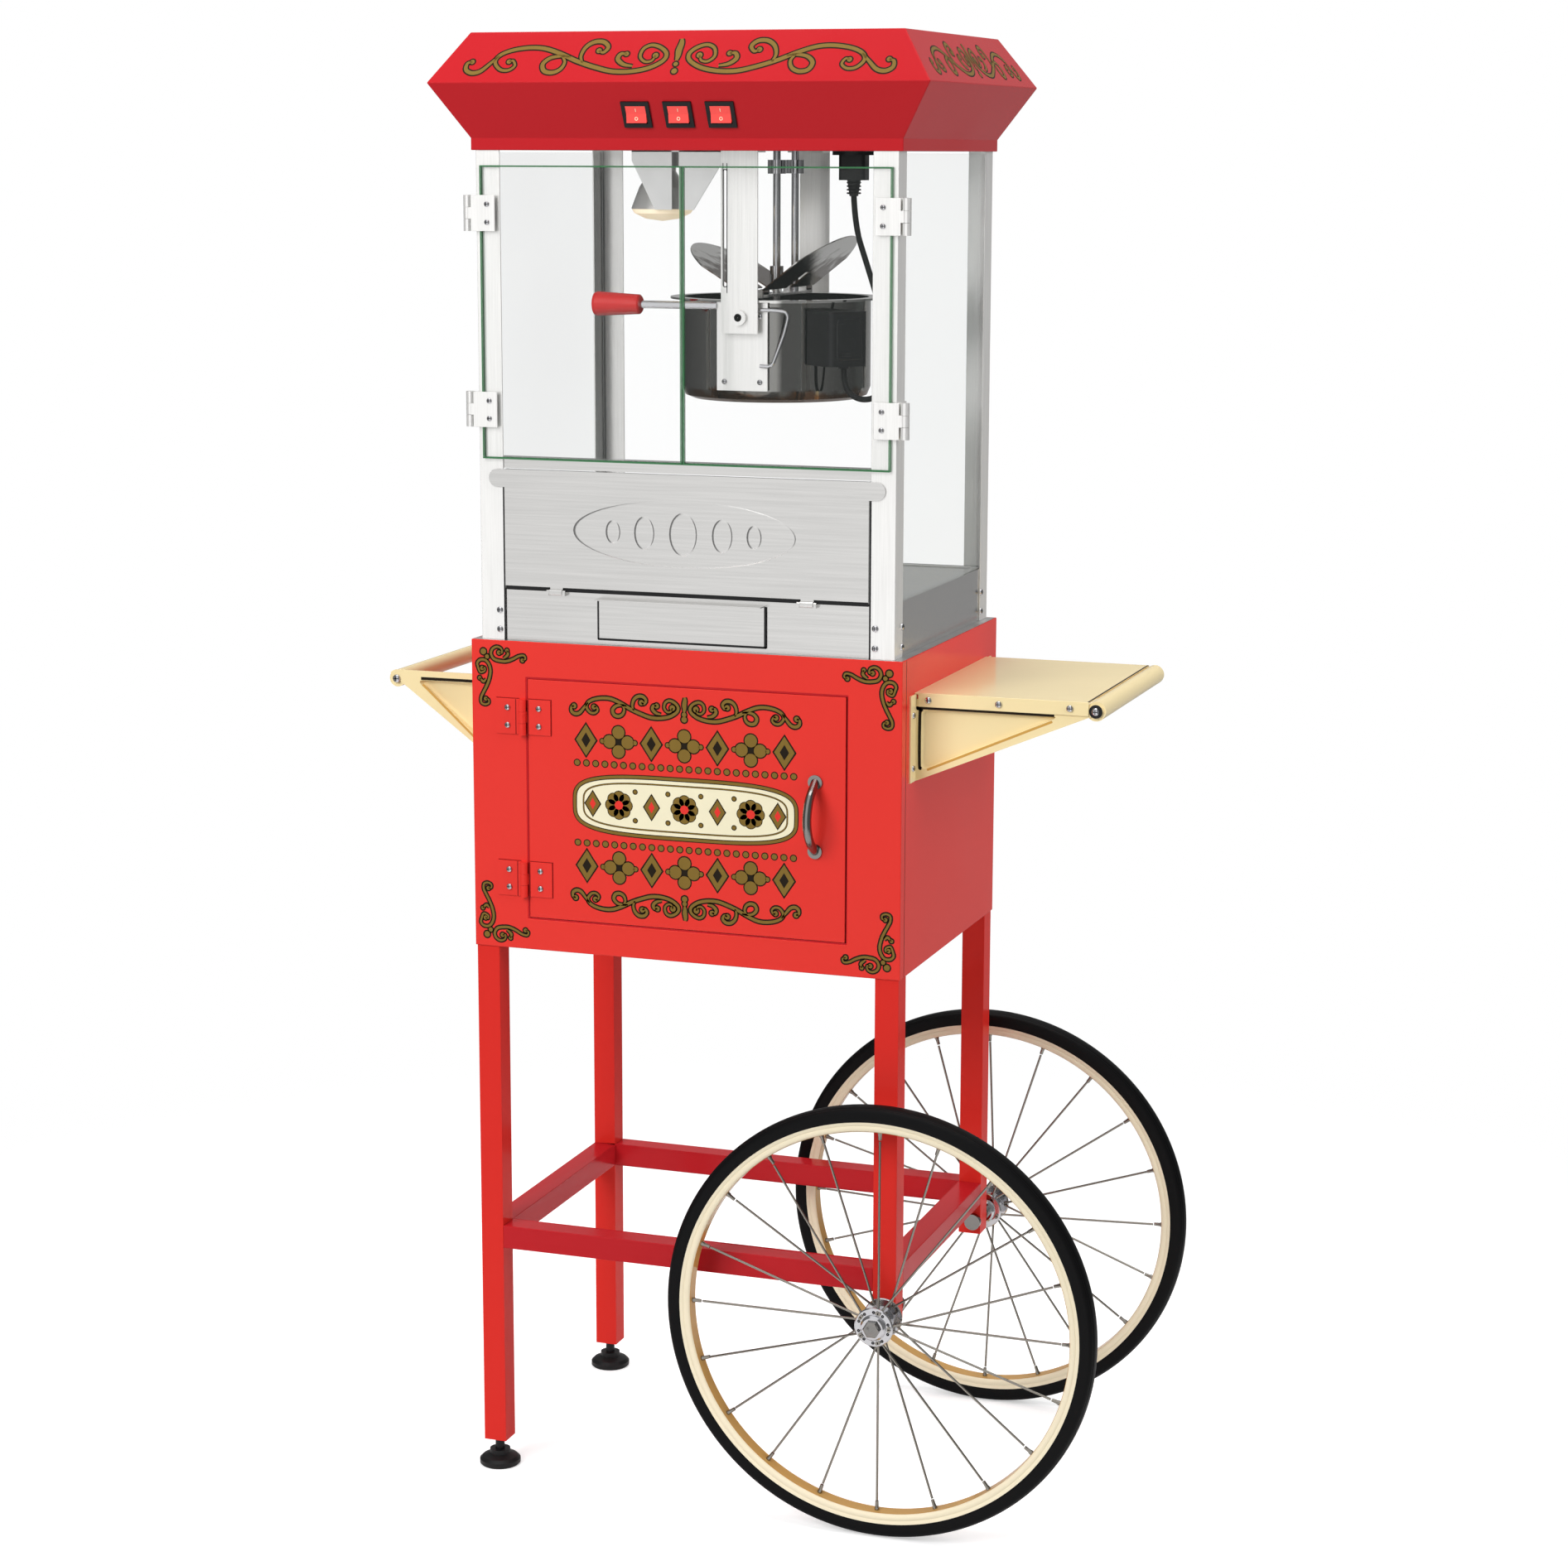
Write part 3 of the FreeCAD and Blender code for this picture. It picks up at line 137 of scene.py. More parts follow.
def add_node(tree, kind, terms=None, **settings):
    """One shader node with its settings made and its inputs fed; gives its outputs."""
    node = tree.nodes.new("ShaderNode" + kind)
    for label, value in settings.items():
        setattr(node, label, value)
    connect(tree, node.inputs, terms or {})
    return node.outputs


def arithmetic(tree, operation, a, b=0.0):
    """Two terms added, multiplied or compared."""
    return add_node(tree, "Math", {0: a, 1: b}, operation=operation)[0]


def around(tree, middle, amount, value):
    """middle + amount * (value - 0.5), the swing of a noise about a middle value."""
    swing = arithmetic(tree, "MULTIPLY", amount, arithmetic(tree, "SUBTRACT", value, 0.5))
    return arithmetic(tree, "ADD", middle, swing)


def ramp(tree, value, low, high, at_low=0.0, at_high=1.0, ease="LINEAR"):
    """Value that goes from at_low to at_high while another goes from low to high."""
    terms = {"Value": value, "From Min": low, "From Max": high, "To Min": at_low, "To Max": at_high}
    return add_node(tree, "MapRange", terms, interpolation_type=ease)["Result"]


def mixed(tree, factor, below, above):
    """Colour that goes from one to another with a mask."""
    return add_node(tree, "Mix", {"Factor": factor, "A": below, "B": above}, data_type="RGBA")["Result"]


def blended(tree, factor, first, second):
    """Shader that turns into another with a mask."""
    return add_node(tree, "MixShader", {0: factor, 1: first, 2: second})[0]


def object_place(tree):
    """The place on a piece, in metres."""
    return add_node(tree, "TexCoord")["Object"]


def split(tree, vector):
    """The X, Y and Z of a vector."""
    return add_node(tree, "SeparateXYZ", {0: vector})


print("node helpers ready")

# %% [markdown]
# ## Studio
# The photograph has a plain white ground. A white room could be modelled, but a world needs no
# meshes. It lights the cart softly from every side, and the camera and the glass see it as plain
# white. In the metal it shows as a bright room in front of the cart that darkens behind it and
# on both sides, because polished sheet looks like steel only when it mirrors light and dark.

# %% Studio
scene.view_settings.view_transform = "Standard"
world = bpy.data.worlds.new("studio")
scene.world = world
world.use_nodes = True
sky = world.node_tree
sky.nodes.clear()
ambient_level, backdrop_level = 0.3, 1.0
front_level, back_level, side_level, lean = 0.95, 0.36, 0.22, 0.08


def plain_light(strength):
    """White light of the world."""
    return add_node(sky, "Background", {"Color": (1.0, 1.0, 1.0, 1.0), "Strength": strength})[0]


heading = split(sky, add_node(sky, "TexCoord")["Generated"])
backwards = ramp(sky, heading["Y"], -0.3, 0.6, front_level, back_level)
aside = arithmetic(sky, "ABSOLUTE", arithmetic(sky, "ADD", heading["X"], lean))
sideways = ramp(sky, aside, 0.40, 0.52, 1.0, side_level)
in_metal = plain_light(arithmetic(sky, "MULTIPLY", backwards, sideways))
rays = add_node(sky, "LightPath")
seen = arithmetic(sky, "MAXIMUM", rays["Is Camera Ray"], rays["Is Transmission Ray"])
room = blended(sky, rays["Is Glossy Ray"], plain_light(ambient_level), in_metal)
add_node(sky, "OutputWorld", {"Surface": blended(sky, seen, room, plain_light(backdrop_level))})
print("world nodes", len(sky.nodes))

# %% [markdown]
# ## Lamps
# The cart was lit by large soft boxes, as things of painted sheet usually are. Spots would give
# hard shadows and small hot points, so four large area lamps stand round it. Only the one above
# shows in the metal, and the world gives the other reflections.

# %% Lamps


def lamp(name, place, aim, size, watts, in_metal):
    """Soft rectangular lamp at a place, turned so that it shines at a point. It can be kept out of
    the reflections in metal."""
    data = bpy.data.lights.new(name, "AREA")
    data.shape = "RECTANGLE"
    data.size, data.size_y = size
    data.energy = watts
    item = add_object(name, data)
    item.visible_glossy = in_metal
    way = Vector(aim) - Vector(place)
    item.matrix_world = Matrix.Translation(place) @ way.to_track_quat("-Z", "Y").to_matrix().to_4x4()


lamp("front_lamp", (-1.1, -2.8, 2.5), (0.0, 0.0, 0.9), (2.0, 2.0), 88.0, False)
lamp("side_lamp", (3.2, -0.6, 2.0), (0.0, 0.0, 0.8), (1.6, 2.4), 50.0, False)
lamp("top_lamp", (0.0, 0.2, 3.6), (0.0, 0.0, 1.0), (2.4, 2.4), 48.0, True)
lamp("back_lamp", (-1.2, 3.0, 2.2), (0.0, 0.0, 0.9), (2.0, 2.0), 50.0, False)
print("lamps", len(bpy.data.lights))

# %% [markdown]
# ## Floor
# The cart stands on a large plain sheet. A white sheet alone comes out grey in the shade, and a
# glowing one loses the shadow. So it is matt and pale, adds some white only for the camera, and
# fades into the backdrop away from the cart.

# %% Floor
floor_half, floor_glow, fade_from, fade_to = 2.5, 0.45, 0.5, 1.6
floor_finish = bpy.data.materials.new("studio_floor")
floor_finish.use_nodes = True
ground = floor_finish.node_tree
ground.nodes.clear()
matt = add_node(ground, "BsdfDiffuse", {"Color": (0.8, 0.8, 0.8, 1.0)})[0]
for_camera = add_node(ground, "LightPath")["Is Camera Ray"]
glow = add_node(ground, "Emission", {"Strength": arithmetic(ground, "MULTIPLY", for_camera, floor_glow)})[0]
both = add_node(ground, "AddShader", {0: matt, 1: glow})[0]
far_off = add_node(ground, "VectorMath", {0: object_place(ground)}, operation="LENGTH")["Value"]
fade = ramp(ground, far_off, fade_from, fade_to, ease="SMOOTHSTEP")
clear = add_node(ground, "BsdfTransparent")[0]
add_node(ground, "OutputMaterial", {"Surface": blended(ground, fade, both, clear)})
floor_mesh = bpy.data.meshes.new("studio_floor")
floor_corners = [(a * floor_half, b * floor_half, 0) for a, b in ((-1, -1), (1, -1), (1, 1), (-1, 1))]
floor_mesh.from_pydata(floor_corners, [], [(0, 1, 2, 3)])
floor_mesh.materials.append(floor_finish)
floor = add_object("studio_floor", floor_mesh)
print("floor", floor_half * 2, "m wide")

# %% [markdown]
# ## Shared surface effects
# Enamel, steel and rubber all vary a little over their surface. The nodes for that could be
# repeated in every material. Four node groups hold them instead: a slow change of tone, a fine
# relief, the streaks of a brushed sheet and the smears that handling leaves in the gloss. Each
# material places the groups with its own values.

# %% Node groups
number, tint, arrow = "NodeSocketFloat", "NodeSocketColor", "NodeSocketVector"
relief_depth, brush_depth, streak_tone = 0.0004, 0.0003, 0.32


def new_group(name, inputs, outputs):
    """Empty node group with named sockets: the group, what it is given and what it puts out."""
    tree = bpy.data.node_groups.new(name, "ShaderNodeTree")
    for way, sockets in (("INPUT", inputs), ("OUTPUT", outputs)):
        for label, kind in sockets.items():
            tree.interface.new_socket(label, in_out=way, socket_type=kind)
    return tree, tree.nodes.new("NodeGroupInput").outputs, tree.nodes.new("NodeGroupOutput").inputs


def noise(tree, coords, scale, detail=3.0):
    """Noise on given coordinates."""
    return add_node(tree, "TexNoise", {"Vector": coords, "Scale": scale, "Detail": detail})["Fac"]


def bump(tree, height, strength, depth):
    """Normal of a surface that is raised by a height."""
    return add_node(tree, "Bump", {"Height": height, "Strength": strength, "Distance": depth})["Normal"]


tone, given, made = new_group(
    "slow_tone", {"Color": tint, "Amount": number, "Scale": number}, {"Color": tint})
slow = noise(tone, object_place(tone), given["Scale"])
drift = {"Color": given["Color"], "Value": around(tone, 1.0, given["Amount"], slow)}
connect(tone, made, {"Color": add_node(tone, "HueSaturation", drift)["Color"]})

relief, given, made = new_group("fine_relief", {"Scale": number, "Strength": number}, {"Normal": arrow})
grain = noise(relief, object_place(relief), given["Scale"], 2.0)
connect(relief, made, {"Normal": bump(relief, grain, given["Strength"], relief_depth)})

brushed, given, made = new_group(
    "brushed_streaks", {"Grain": arrow, "Roughness": number, "Amount": number, "Strength": number},
    {"Roughness": number, "Normal": arrow, "Streak": number})
drawn_out = add_node(brushed, "Mapping", {"Vector": object_place(brushed), "Scale": given["Grain"]})["Vector"]
streak = noise(brushed, drawn_out, 1.0, 4.0)
connect(brushed, made, {"Roughness": around(brushed, given["Roughness"], given["Amount"], streak),
                        "Normal": bump(brushed, streak, given["Strength"], brush_depth),
                        "Streak": around(brushed, 1.0, streak_tone, streak)})

smears, given, made = new_group(
    "handling_smears", {"Roughness": number, "Amount": number, "Scale": number}, {"Roughness": number})
smear = noise(smears, object_place(smears), given["Scale"], 5.0)
connect(smears, made, {"Roughness": around(smears, given["Roughness"], given["Amount"], smear)})
print("groups", [group.name for group in bpy.data.node_groups])

# %% [markdown]
# ## Enamel
# The sheets are sprayed with glossy paint that has a clear coat, fine orange peel and faint smears.
# A flat colour would make them look like paper. So the tone drifts, and two of the groups give the
# gloss and the normal. The roof and the rims are paints of their own. The legs get a darker, less
# glossy copy of the red. The stretchers and the turned edge of the door opening get the deeper red
# of the roof, and on them it is painted shade.

# %% Enamel


def place_group(mat, group, **values):
    """A shared group in a material, with its inputs set; gives its outputs."""
    return add_node(mat.node_tree, "Group", values, node_tree=group)


def new_material(name, slot):
    """Material with a Principled shader that knows the slot it belongs to."""
    mat = bpy.data.materials.new(name)
    mat.use_nodes = True
    mat["slot"] = slot
    return mat


def shade(mat, terms):
    """Feed inputs of the Principled shader of a material."""
    connect(mat.node_tree, mat.node_tree.nodes["Principled BSDF"].inputs, terms)


def drifting(mat, colour, amount, scale):
    """Colour that drifts slowly about a base colour."""
    return place_group(mat, tone, Color=srgb(colour), Amount=amount, Scale=scale)["Color"]


def enamel(name, slot, colour, rough=0.22, peel=0.10, specular=0.18):
    """Glossy paint: smeared gloss, orange peel in the paint and a clear coat over it."""
    mat = new_material(name, slot)
    gloss = place_group(mat, smears, Roughness=rough, Amount=0.12, Scale=9.0)
    skin = place_group(mat, relief, Scale=260.0, Strength=peel)
    shade(mat, {"Base Color": drifting(mat, colour, 0.05, 3.0), "Specular IOR Level": specular,
                "Roughness": gloss["Roughness"], "Normal": skin["Normal"],
                "Coat Weight": 0.05, "Coat Roughness": 0.06})
    return mat


red = enamel("red_enamel", "red_enamel", "E4352D")
# The roof's own deeper red. On the stretchers and the turned edge of the door opening it is painted shade.
deep_red_and_shade = enamel("deep_red_and_painted_shade", "red_enamel", "BC1F26", specular=0.10)
# A darker, less glossy copy of the red for the legs: painted shade.
leg_shade_red = enamel("leg_red_painted_shade", "red_enamel", "DA2F28", specular=0.05)
cream = enamel("cream_enamel", "cream_enamel", "F6E2AE", rough=0.16, peel=0.04)
pale_cream = enamel("pale_cream_enamel", "cream_enamel", "F4E8CB", rough=0.16, peel=0.03)
print("paints", red.name, deep_red_and_shade.name, leg_shade_red.name, cream.name, pale_cream.name)

# %% [markdown]
# ## Sheet steel
# The posts and panels are steel that was brushed along its length, and the decks and the lamp
# bracket are coated with zinc. A photograph of metal would carry its own light into every view.
# Streaks of noise, drawn out along one axis, change the roughness, the normal and the tone instead.

# %% Sheet steel


def sheet_steel(name, slot, colour, grain, rough=0.24, streak=0.08, metallic=1.0):
    """Metal brushed along the axis with the smallest grain number. A satin sheet is less metallic."""
    mat = new_material(name, slot)
    brush = place_group(mat, brushed, Grain=grain, Roughness=rough, Amount=streak, Strength=0.015)
    streaked = {0: drifting(mat, colour, 0.10, 6.0), 1: brush["Streak"]}
    lined = add_node(mat.node_tree, "VectorMath", streaked, operation="MULTIPLY")["Vector"]
    shade(mat, {"Base Color": lined, "Metallic": metallic, "Roughness": brush["Roughness"],
                "Normal": brush["Normal"]})
    return mat


steel_wide = sheet_steel("steel_brushed_wide", "stainless", "DEDDDB", (9.0, 420.0, 420.0))
steel_tall = sheet_steel("steel_brushed_tall", "stainless", "F9F8F6", (900.0, 900.0, 14.0), metallic=0.55)
zinc = sheet_steel("zinc_sheet", "galvanised", "E6E6E5", (40.0, 40.0, 40.0), rough=0.34, streak=0.15)
print("sheets", steel_wide.name, steel_tall.name, zinc.name)

# %% [markdown]
# ## Chrome, rubber and plastic
# Rods and spokes are chromed and nearly a mirror. The tyres, the feet, the cord and the red grip
# have the fine grain of their mould. They could be three kinds of material, but all are a smeared
# gloss over a fine relief, so one function makes them from a few numbers.

# %% Chrome, rubber and plastic


def moulded(name, slot, colour, rough=0.45, grain=900.0, depth=0.12, metallic=0.0, specular=0.5):
    """Plastic, rubber or polished metal with a fine grain and smeared gloss."""
    mat = new_material(name, slot)
    gloss = place_group(mat, smears, Roughness=rough, Amount=0.14, Scale=30.0)
    skin = place_group(mat, relief, Scale=grain, Strength=depth)
    shade(mat, {"Base Color": drifting(mat, colour, 0.12, 22.0), "Specular IOR Level": specular,
                "Roughness": gloss["Roughness"], "Normal": skin["Normal"], "Metallic": metallic})
    return mat


polished = {"grain": 300.0, "depth": 0.02, "metallic": 1.0}
chrome = moulded("chrome_rod", "bright_steel", "CFCFD2", rough=0.12, **polished)
dark_chrome = moulded("dark_chrome", "bright_steel", "8F8D8A", rough=0.16, **polished)
wire = moulded("spoke_wire", "bright_steel", "96928A", rough=0.2, **polished)
black = moulded("black_plastic", "black_plastic", "171718", rough=0.42, specular=0.3)
rubber = moulded("black_rubber", "black_rubber", "141414", rough=0.55, grain=700.0, specular=0.25)
tyre_rubber = moulded("tyre_rubber", "tyre_rubber", "0C0C0D", rough=0.5, grain=500.0, depth=0.2,
                      specular=0.12)
grip_red = moulded("red_grip", "red_plastic", "C8201F", rough=0.25, grain=500.0, depth=0.05)
print("finishes", len(bpy.data.materials))

# %% [markdown]
# ## Glass
# The panes are clear and thin, and mirror the room at a slant. The doors have ground edges that
# look dark green. A refracting glass would need two walls and many light paths, so the pane is
# nearly see-through instead, and a mask on the place of the pane picks the outer rim of the doors.

# %% Glass
pane_tint, edge_tint = srgb("DDE8E4"), srgb("2F7444")
door_middle, door_reach = (0.1093, 1.2395), (0.1071, 0.1459)


def window_glass(name, edge_mask=None):
    """Clear pane: its cover is 0.006 + 0.16 * the mirrored share, and at least 0.8 on its ground edges."""
    mat = new_material(name, "clear_glass")
    tree, colour = mat.node_tree, pane_tint
    gloss = place_group(mat, smears, Roughness=0.04, Amount=0.05, Scale=11.0)
    slant = add_node(tree, "Fresnel", {"IOR": 1.45})[0]
    cover = arithmetic(tree, "ADD", 0.006, arithmetic(tree, "MULTIPLY", slant, 0.16))
    if edge_mask:
        edge = edge_mask(tree, split(tree, object_place(tree)))
        colour = mixed(tree, edge, pane_tint, edge_tint)
        cover = arithmetic(tree, "MAXIMUM", cover, arithmetic(tree, "MULTIPLY", edge, 0.8))
    shade(mat, {"Base Color": colour, "Roughness": gloss["Roughness"], "Alpha": cover})
    return mat


def far_from(tree, value, middle, limit):
    """1 where a coordinate is further than a limit from a middle value, else 0."""
    gap = arithmetic(tree, "ABSOLUTE", arithmetic(tree, "SUBTRACT", value, middle))
    return arithmetic(tree, "GREATER_THAN", gap, limit)


def door_edges(tree, place):
    """The outer 1.6 mm of both door panes, which lie mirrored about the middle of the cart."""
    off_middle = arithmetic(tree, "ABSOLUTE", arithmetic(tree, "SUBTRACT", place["X"], middle_x))
    limits = zip((off_middle, place["Z"]), door_middle, door_reach)
    return arithmetic(tree, "MAXIMUM", *(far_from(tree, *limit) for limit in limits))


door_glass = window_glass("door_glass", door_edges)
pane_glass = window_glass("pane_glass")
print("glass", door_glass.name, pane_glass.name)

# %% [markdown]
# ## Meshes from arrays
# Tyres, spokes, screws and printed scrolls follow simple rules: a profile turned about an axis, a
# round section carried along a path, a band on a flat panel. They could be modelled from
# Blender's primitives, but a rule worked out as whole arrays is exact and changes with one
# number. These helpers turn such arrays into objects that ride on a body of the frame.

# %% Mesh helpers


def grid_quads(rows, cols, wrap_rows=False, wrap_cols=False):
    """Corner numbers of the quads of a rows x cols grid, joined end to end where asked."""
    r = np.arange(rows if wrap_rows else rows - 1)
    c = np.arange(cols if wrap_cols else cols - 1)
    r, c = np.meshgrid(r, c, indexing="ij")
    r2, c2 = (r + 1) % rows, (c + 1) % cols
    return np.stack([r * cols + c, r * cols + c2, r2 * cols + c2, r2 * cols + c], -1).reshape(-1, 4)


def merge_points(mesh, turn_outwards):
    """Points of a mesh that lie together become one, and faces may be turned to point outwards."""
    work = bmesh.new()
    work.from_mesh(mesh)
    bmesh.ops.remove_doubles(work, verts=work.verts, dist=1e-6)
    if turn_outwards:
        bmesh.ops.recalc_face_normals(work, faces=work.faces)
    work.to_mesh(mesh)
    work.free()


def finish_edges(item, smooth, bevel):
    """Smooth shading up to an angle, or flat facets for 0, with a small rounded edge where asked for."""
    mesh = item.data
    mesh.polygons.foreach_set("use_smooth", np.full(len(mesh.polygons), smooth > 0))
    if smooth:
        mesh.set_sharp_from_angle(angle=math.radians(smooth))
    if bevel:
        edge = item.modifiers.new("rounded_edge", "BEVEL")
        edge.width = bevel
        edge.segments = 2
        edge.limit_method = "ANGLE"
        edge.angle_limit = math.radians(50.0)
        edge.harden_normals = smooth > 0


def add_piece(name, mesh, finish, body, replaces=(), smooth=40.0, bevel=0.0):
    """Object with one finish that rides on a body and may stand for solids of the frame."""
    mesh.materials.clear()
    mesh.materials.append(finish)
    item = add_object(name, mesh)
    finish_edges(item, smooth, bevel)
    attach(item, body)
    if replaces:
        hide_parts(*replaces)


def make_piece(name, parts, finish, body, replaces=(), closed=True, **edges):
    """One piece from several (points, faces) parts in metres. Doubles are merged, and closed parts get
    their normals turned outwards."""
    starts = np.cumsum([0] + [len(points) for points, _ in parts]).tolist()
    faces = [[corner + start for corner in face] for (_, part), start in zip(parts, starts) for face in part]
    mesh = bpy.data.meshes.new(name)
    mesh.from_pydata(np.concatenate([points for points, _ in parts]).tolist(), [], faces)
    merge_points(mesh, closed)
    add_piece(name, mesh, finish, body, replaces, **edges)


def unit_circle(steps):
    """Points (cos a, sin a) at even steps round a circle."""
    a = np.linspace(0, 2 * np.pi, steps, endpoint=False)
    return np.c_[np.cos(a), np.sin(a)]


def square_to(axis):
    """Two unit directions u and v that are square to an axis, or to many, and to each other."""
    spare = np.where(np.abs(axis[..., 2:3]) < 0.9, [0.0, 0.0, 1.0], [1.0, 0.0, 0.0])
    u = np.cross(axis, spare)
    u /= np.linalg.norm(u, axis=-1, keepdims=True)
    return np.stack([u, np.cross(axis, u)], -2)


print("mesh helpers ready")

# %% [markdown]
# ## Finishes on the solids
# The solids that are already right keep their shape and get the finish of the real piece. Folded
# sheet has small round edges. A sharp edge catches no light and makes painted steel look like
# paper, and rounding the solids themselves would make them heavy, so copies of them get a bevel.

# %% Dress the solids
painted_edge, shelf_edge, steel_edge = 0.0008, 0.0005, 0.0004


def dress(finish, *names):
    """A finish on the material slots of solids."""
    for name in names:
        for slot in frame["nodes"][name].material_slots:
            slot.material = finish


def softened(node, finish, width):
    """Copy of a folded-sheet solid with flat facets and its edges rounded."""
    solid = frame["nodes"][node]
    mesh = solid.data.copy()
    merge_points(mesh, False)
    add_piece(node + "_folded", mesh, finish, solid["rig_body"], [node], 0.0, width)


dress(zinc, "cart_decks", "drive_motor")
dress(chrome, "kettle_handle_rod", "kettle_hook", "steady_rod", "drive_shaft")
dress(dark_chrome, "axles", "cart_door_handle")
dress(steel_tall, "kettle_hangers")
dress(steel_wide, "deck_plate", "ceiling_panel", "stirrer", "lid_crossbar")
dress(black, "cord_gland", "switch_bezels", "kettle_heater_box", "kettle_outlet", "kettle_plug")
dress(black, "foot_front", "foot_back")
dress(grip_red, "kettle_grip")
dress(cream, "side_bars")
dress(door_glass, "glass_door_left", "glass_door_right")
dress(pane_glass, "fixed_glass")

folded = [
    (red, painted_edge, ("cart_shell", "cart_door", "cart_hinge_fixed_leaves", "cart_door_leaves")),
    # The darker red of the legs is painted shade.
    (leg_shade_red, painted_edge, ("legs",)),
    # On the stretchers the roof's deeper red is painted shade.
    (deep_red_and_shade, painted_edge, ("roof_canopy", "stretchers")),
    (cream, shelf_edge, ("shelf_sheet",)),
    (steel_wide, steel_edge, ("front_panels", "drop_front", "kernel_drawer", "base_pan")),
    (steel_tall, steel_edge, ("corner_posts", "kettle_side_plates", "glass_door_left_leaves",
                              "glass_door_right_leaves", "glass_hinge_fixed_leaves"))]
for finish, width, names in folded:
    for name in names:
        softened(name, finish, width)

# %% [markdown]
# ## Kettle cord
# The heater is fed by a limp rubber cord that hangs from the plug in the ceiling and loops up
# into the heater box. A cord could be simulated, but this one is short and its hang is known. The
# route of the CAD tube gives the control points of one smooth spline, and a round section follows
# the points that Blender reads from it. The pot tips, but the cord is one fixed piece in this hang.

# %% Kettle cord
cord_r = 0.003


def from_mm(places):
    """Places in millimetres from the middle of the cart box, as places in metres."""
    return np.asarray(places, float) / 1000 + [middle_x, 0, 0]


def tubes(paths, radius, sides=10):
    """Round tubes along many paths at once: paths is (tubes, points, 3), and each ring is
    path + radius * (cos a * u + sin a * v), with u and v square to the path. Ends are closed."""
    count, steps = paths.shape[:2]
    run = np.gradient(paths, axis=1)
    ring = unit_circle(sides) @ square_to(run / np.linalg.norm(run, axis=2, keepdims=True))
    pts = paths[:, :, None, :] + np.broadcast_to(radius, (count, steps))[..., None, None] * ring
    first = np.arange(count)[:, None] * steps * sides
    walls = (grid_quads(steps, sides, False, True)[None] + first[..., None]).reshape(-1, 4)
    caps = np.arange(sides)[None, :] + first
    ends = np.concatenate([caps[:, ::-1], caps + (steps - 1) * sides])
    return pts.reshape(-1, 3), [*walls.tolist(), *ends.tolist()]


cord_route = from_mm([(130.0, -20.0, 1357.0), (133.0, -24.0, 1326.0), (150.0, -38.0, 1290.0),
                      (171.0, -56.0, 1245.0), (184.34, -72.99, 1201.85), (185.34, -79.99, 1168.85),
                      (172.61, -82.99, 1156.12), (154.61, -85.49, 1156.12), (141.88, -85.49, 1168.85),
                      (141.88, -85.09, 1186.85)])
line = bpy.data.curves.new("cord_line", "CURVE")
line.dimensions = "3D"
spline = line.splines.new("NURBS")
spline.points.add(len(cord_route) - 1)
spline.points.foreach_set("co", np.c_[cord_route, np.ones(len(cord_route))].ravel())
spline.order_u = 3
spline.use_endpoint_u = True
spline.resolution_u = 12
line_item = add_object("cord_line", line)
bpy.context.view_layer.update()
traced = bpy.data.meshes.new_from_object(line_item)
cord_path = np.empty(len(traced.vertices) * 3)
traced.vertices.foreach_get("co", cord_path)
cord_path = cord_path.reshape(-1, 3)
bpy.data.objects.remove(line_item)
pts, faces = tubes(cord_path[None], cord_r, 16)
cord_mesh = bpy.data.meshes.new("kettle_cord_lead")
cord_mesh.from_pydata(pts.tolist(), [], faces)
cord_mesh.materials.append(rubber)
cord_mesh.polygons.foreach_set("use_smooth", np.ones(len(cord_mesh.polygons), bool))
cord = add_object("kettle_cord_lead", cord_mesh)
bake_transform(cord)
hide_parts("kettle_cord")

# %% [markdown]
# ## Tyres, rims and hubs
# Each wheel has a solid rubber tyre on a painted steel rim and a turned hub on a stub axle. All of
# them are round, so they could be built from cylinders and tori. A section turned about the axle
# gives the true shoulders, beads and flanges of each piece with a few points.

# %% Tyres, rims and hubs
axle_x, axle_z, wheel_y = middle_x + 0.224, 0.2286, 0.2037
seat_r, rim_low_r, well_half = 0.2135, 0.2028, 0.0078
tread_r, tread_rise, tyre_half = 0.2204, 0.0082, 0.0119
groove_at, groove_wide, groove_deep = 0.0075, 0.0004, 0.0005
flange_y, hole_ring_r, hole_r, holes = 0.0175, 0.0163, 0.0017, 10
front_and_back = (("front", -1.0), ("back", 1.0))


def lathe(profile, centre, axis, steps=96):
    """A closed outline of (radius, height) turned about an axis: a point is
    centre + height * axis + radius * (cos a * u + sin a * v)."""
    rh = np.asarray(profile, float)
    axis = np.asarray(axis, float) / np.linalg.norm(axis)
    ring = unit_circle(steps) @ square_to(axis)
    pts = np.asarray(centre) + rh[None, :, 1:] * axis + rh[None, :, :1] * ring[:, None, :]
    return pts.reshape(-1, 3), grid_quads(steps, len(rh), True, True).tolist()


def mirrored(half):
    """The other half of a section, from its middle outwards."""
    return [(r, -y) for r, y in half[::-1]]


def tyre_section():
    """Rounded tread: across = half width * sin t, radius = tread_r + rise * cos t ** 0.7, closed by the
    side walls and the bead that sits in the rim, with a shallow groove on each shoulder."""
    t = np.linspace(-0.5 * np.pi, 0.5 * np.pi, 33)
    radius = tread_r + tread_rise * np.cos(t).clip(0) ** 0.7
    across = tyre_half * np.sin(t)
    radius -= groove_deep * np.exp(-((np.abs(across) - groove_at) / groove_wide) ** 2)
    wall = [(0.2172, 0.0119), (0.2146, 0.0116), (0.2132, 0.0110), (seat_r - 0.001, 0.0085)]
    return [*np.c_[radius, across].tolist(), *wall, *mirrored(wall)]


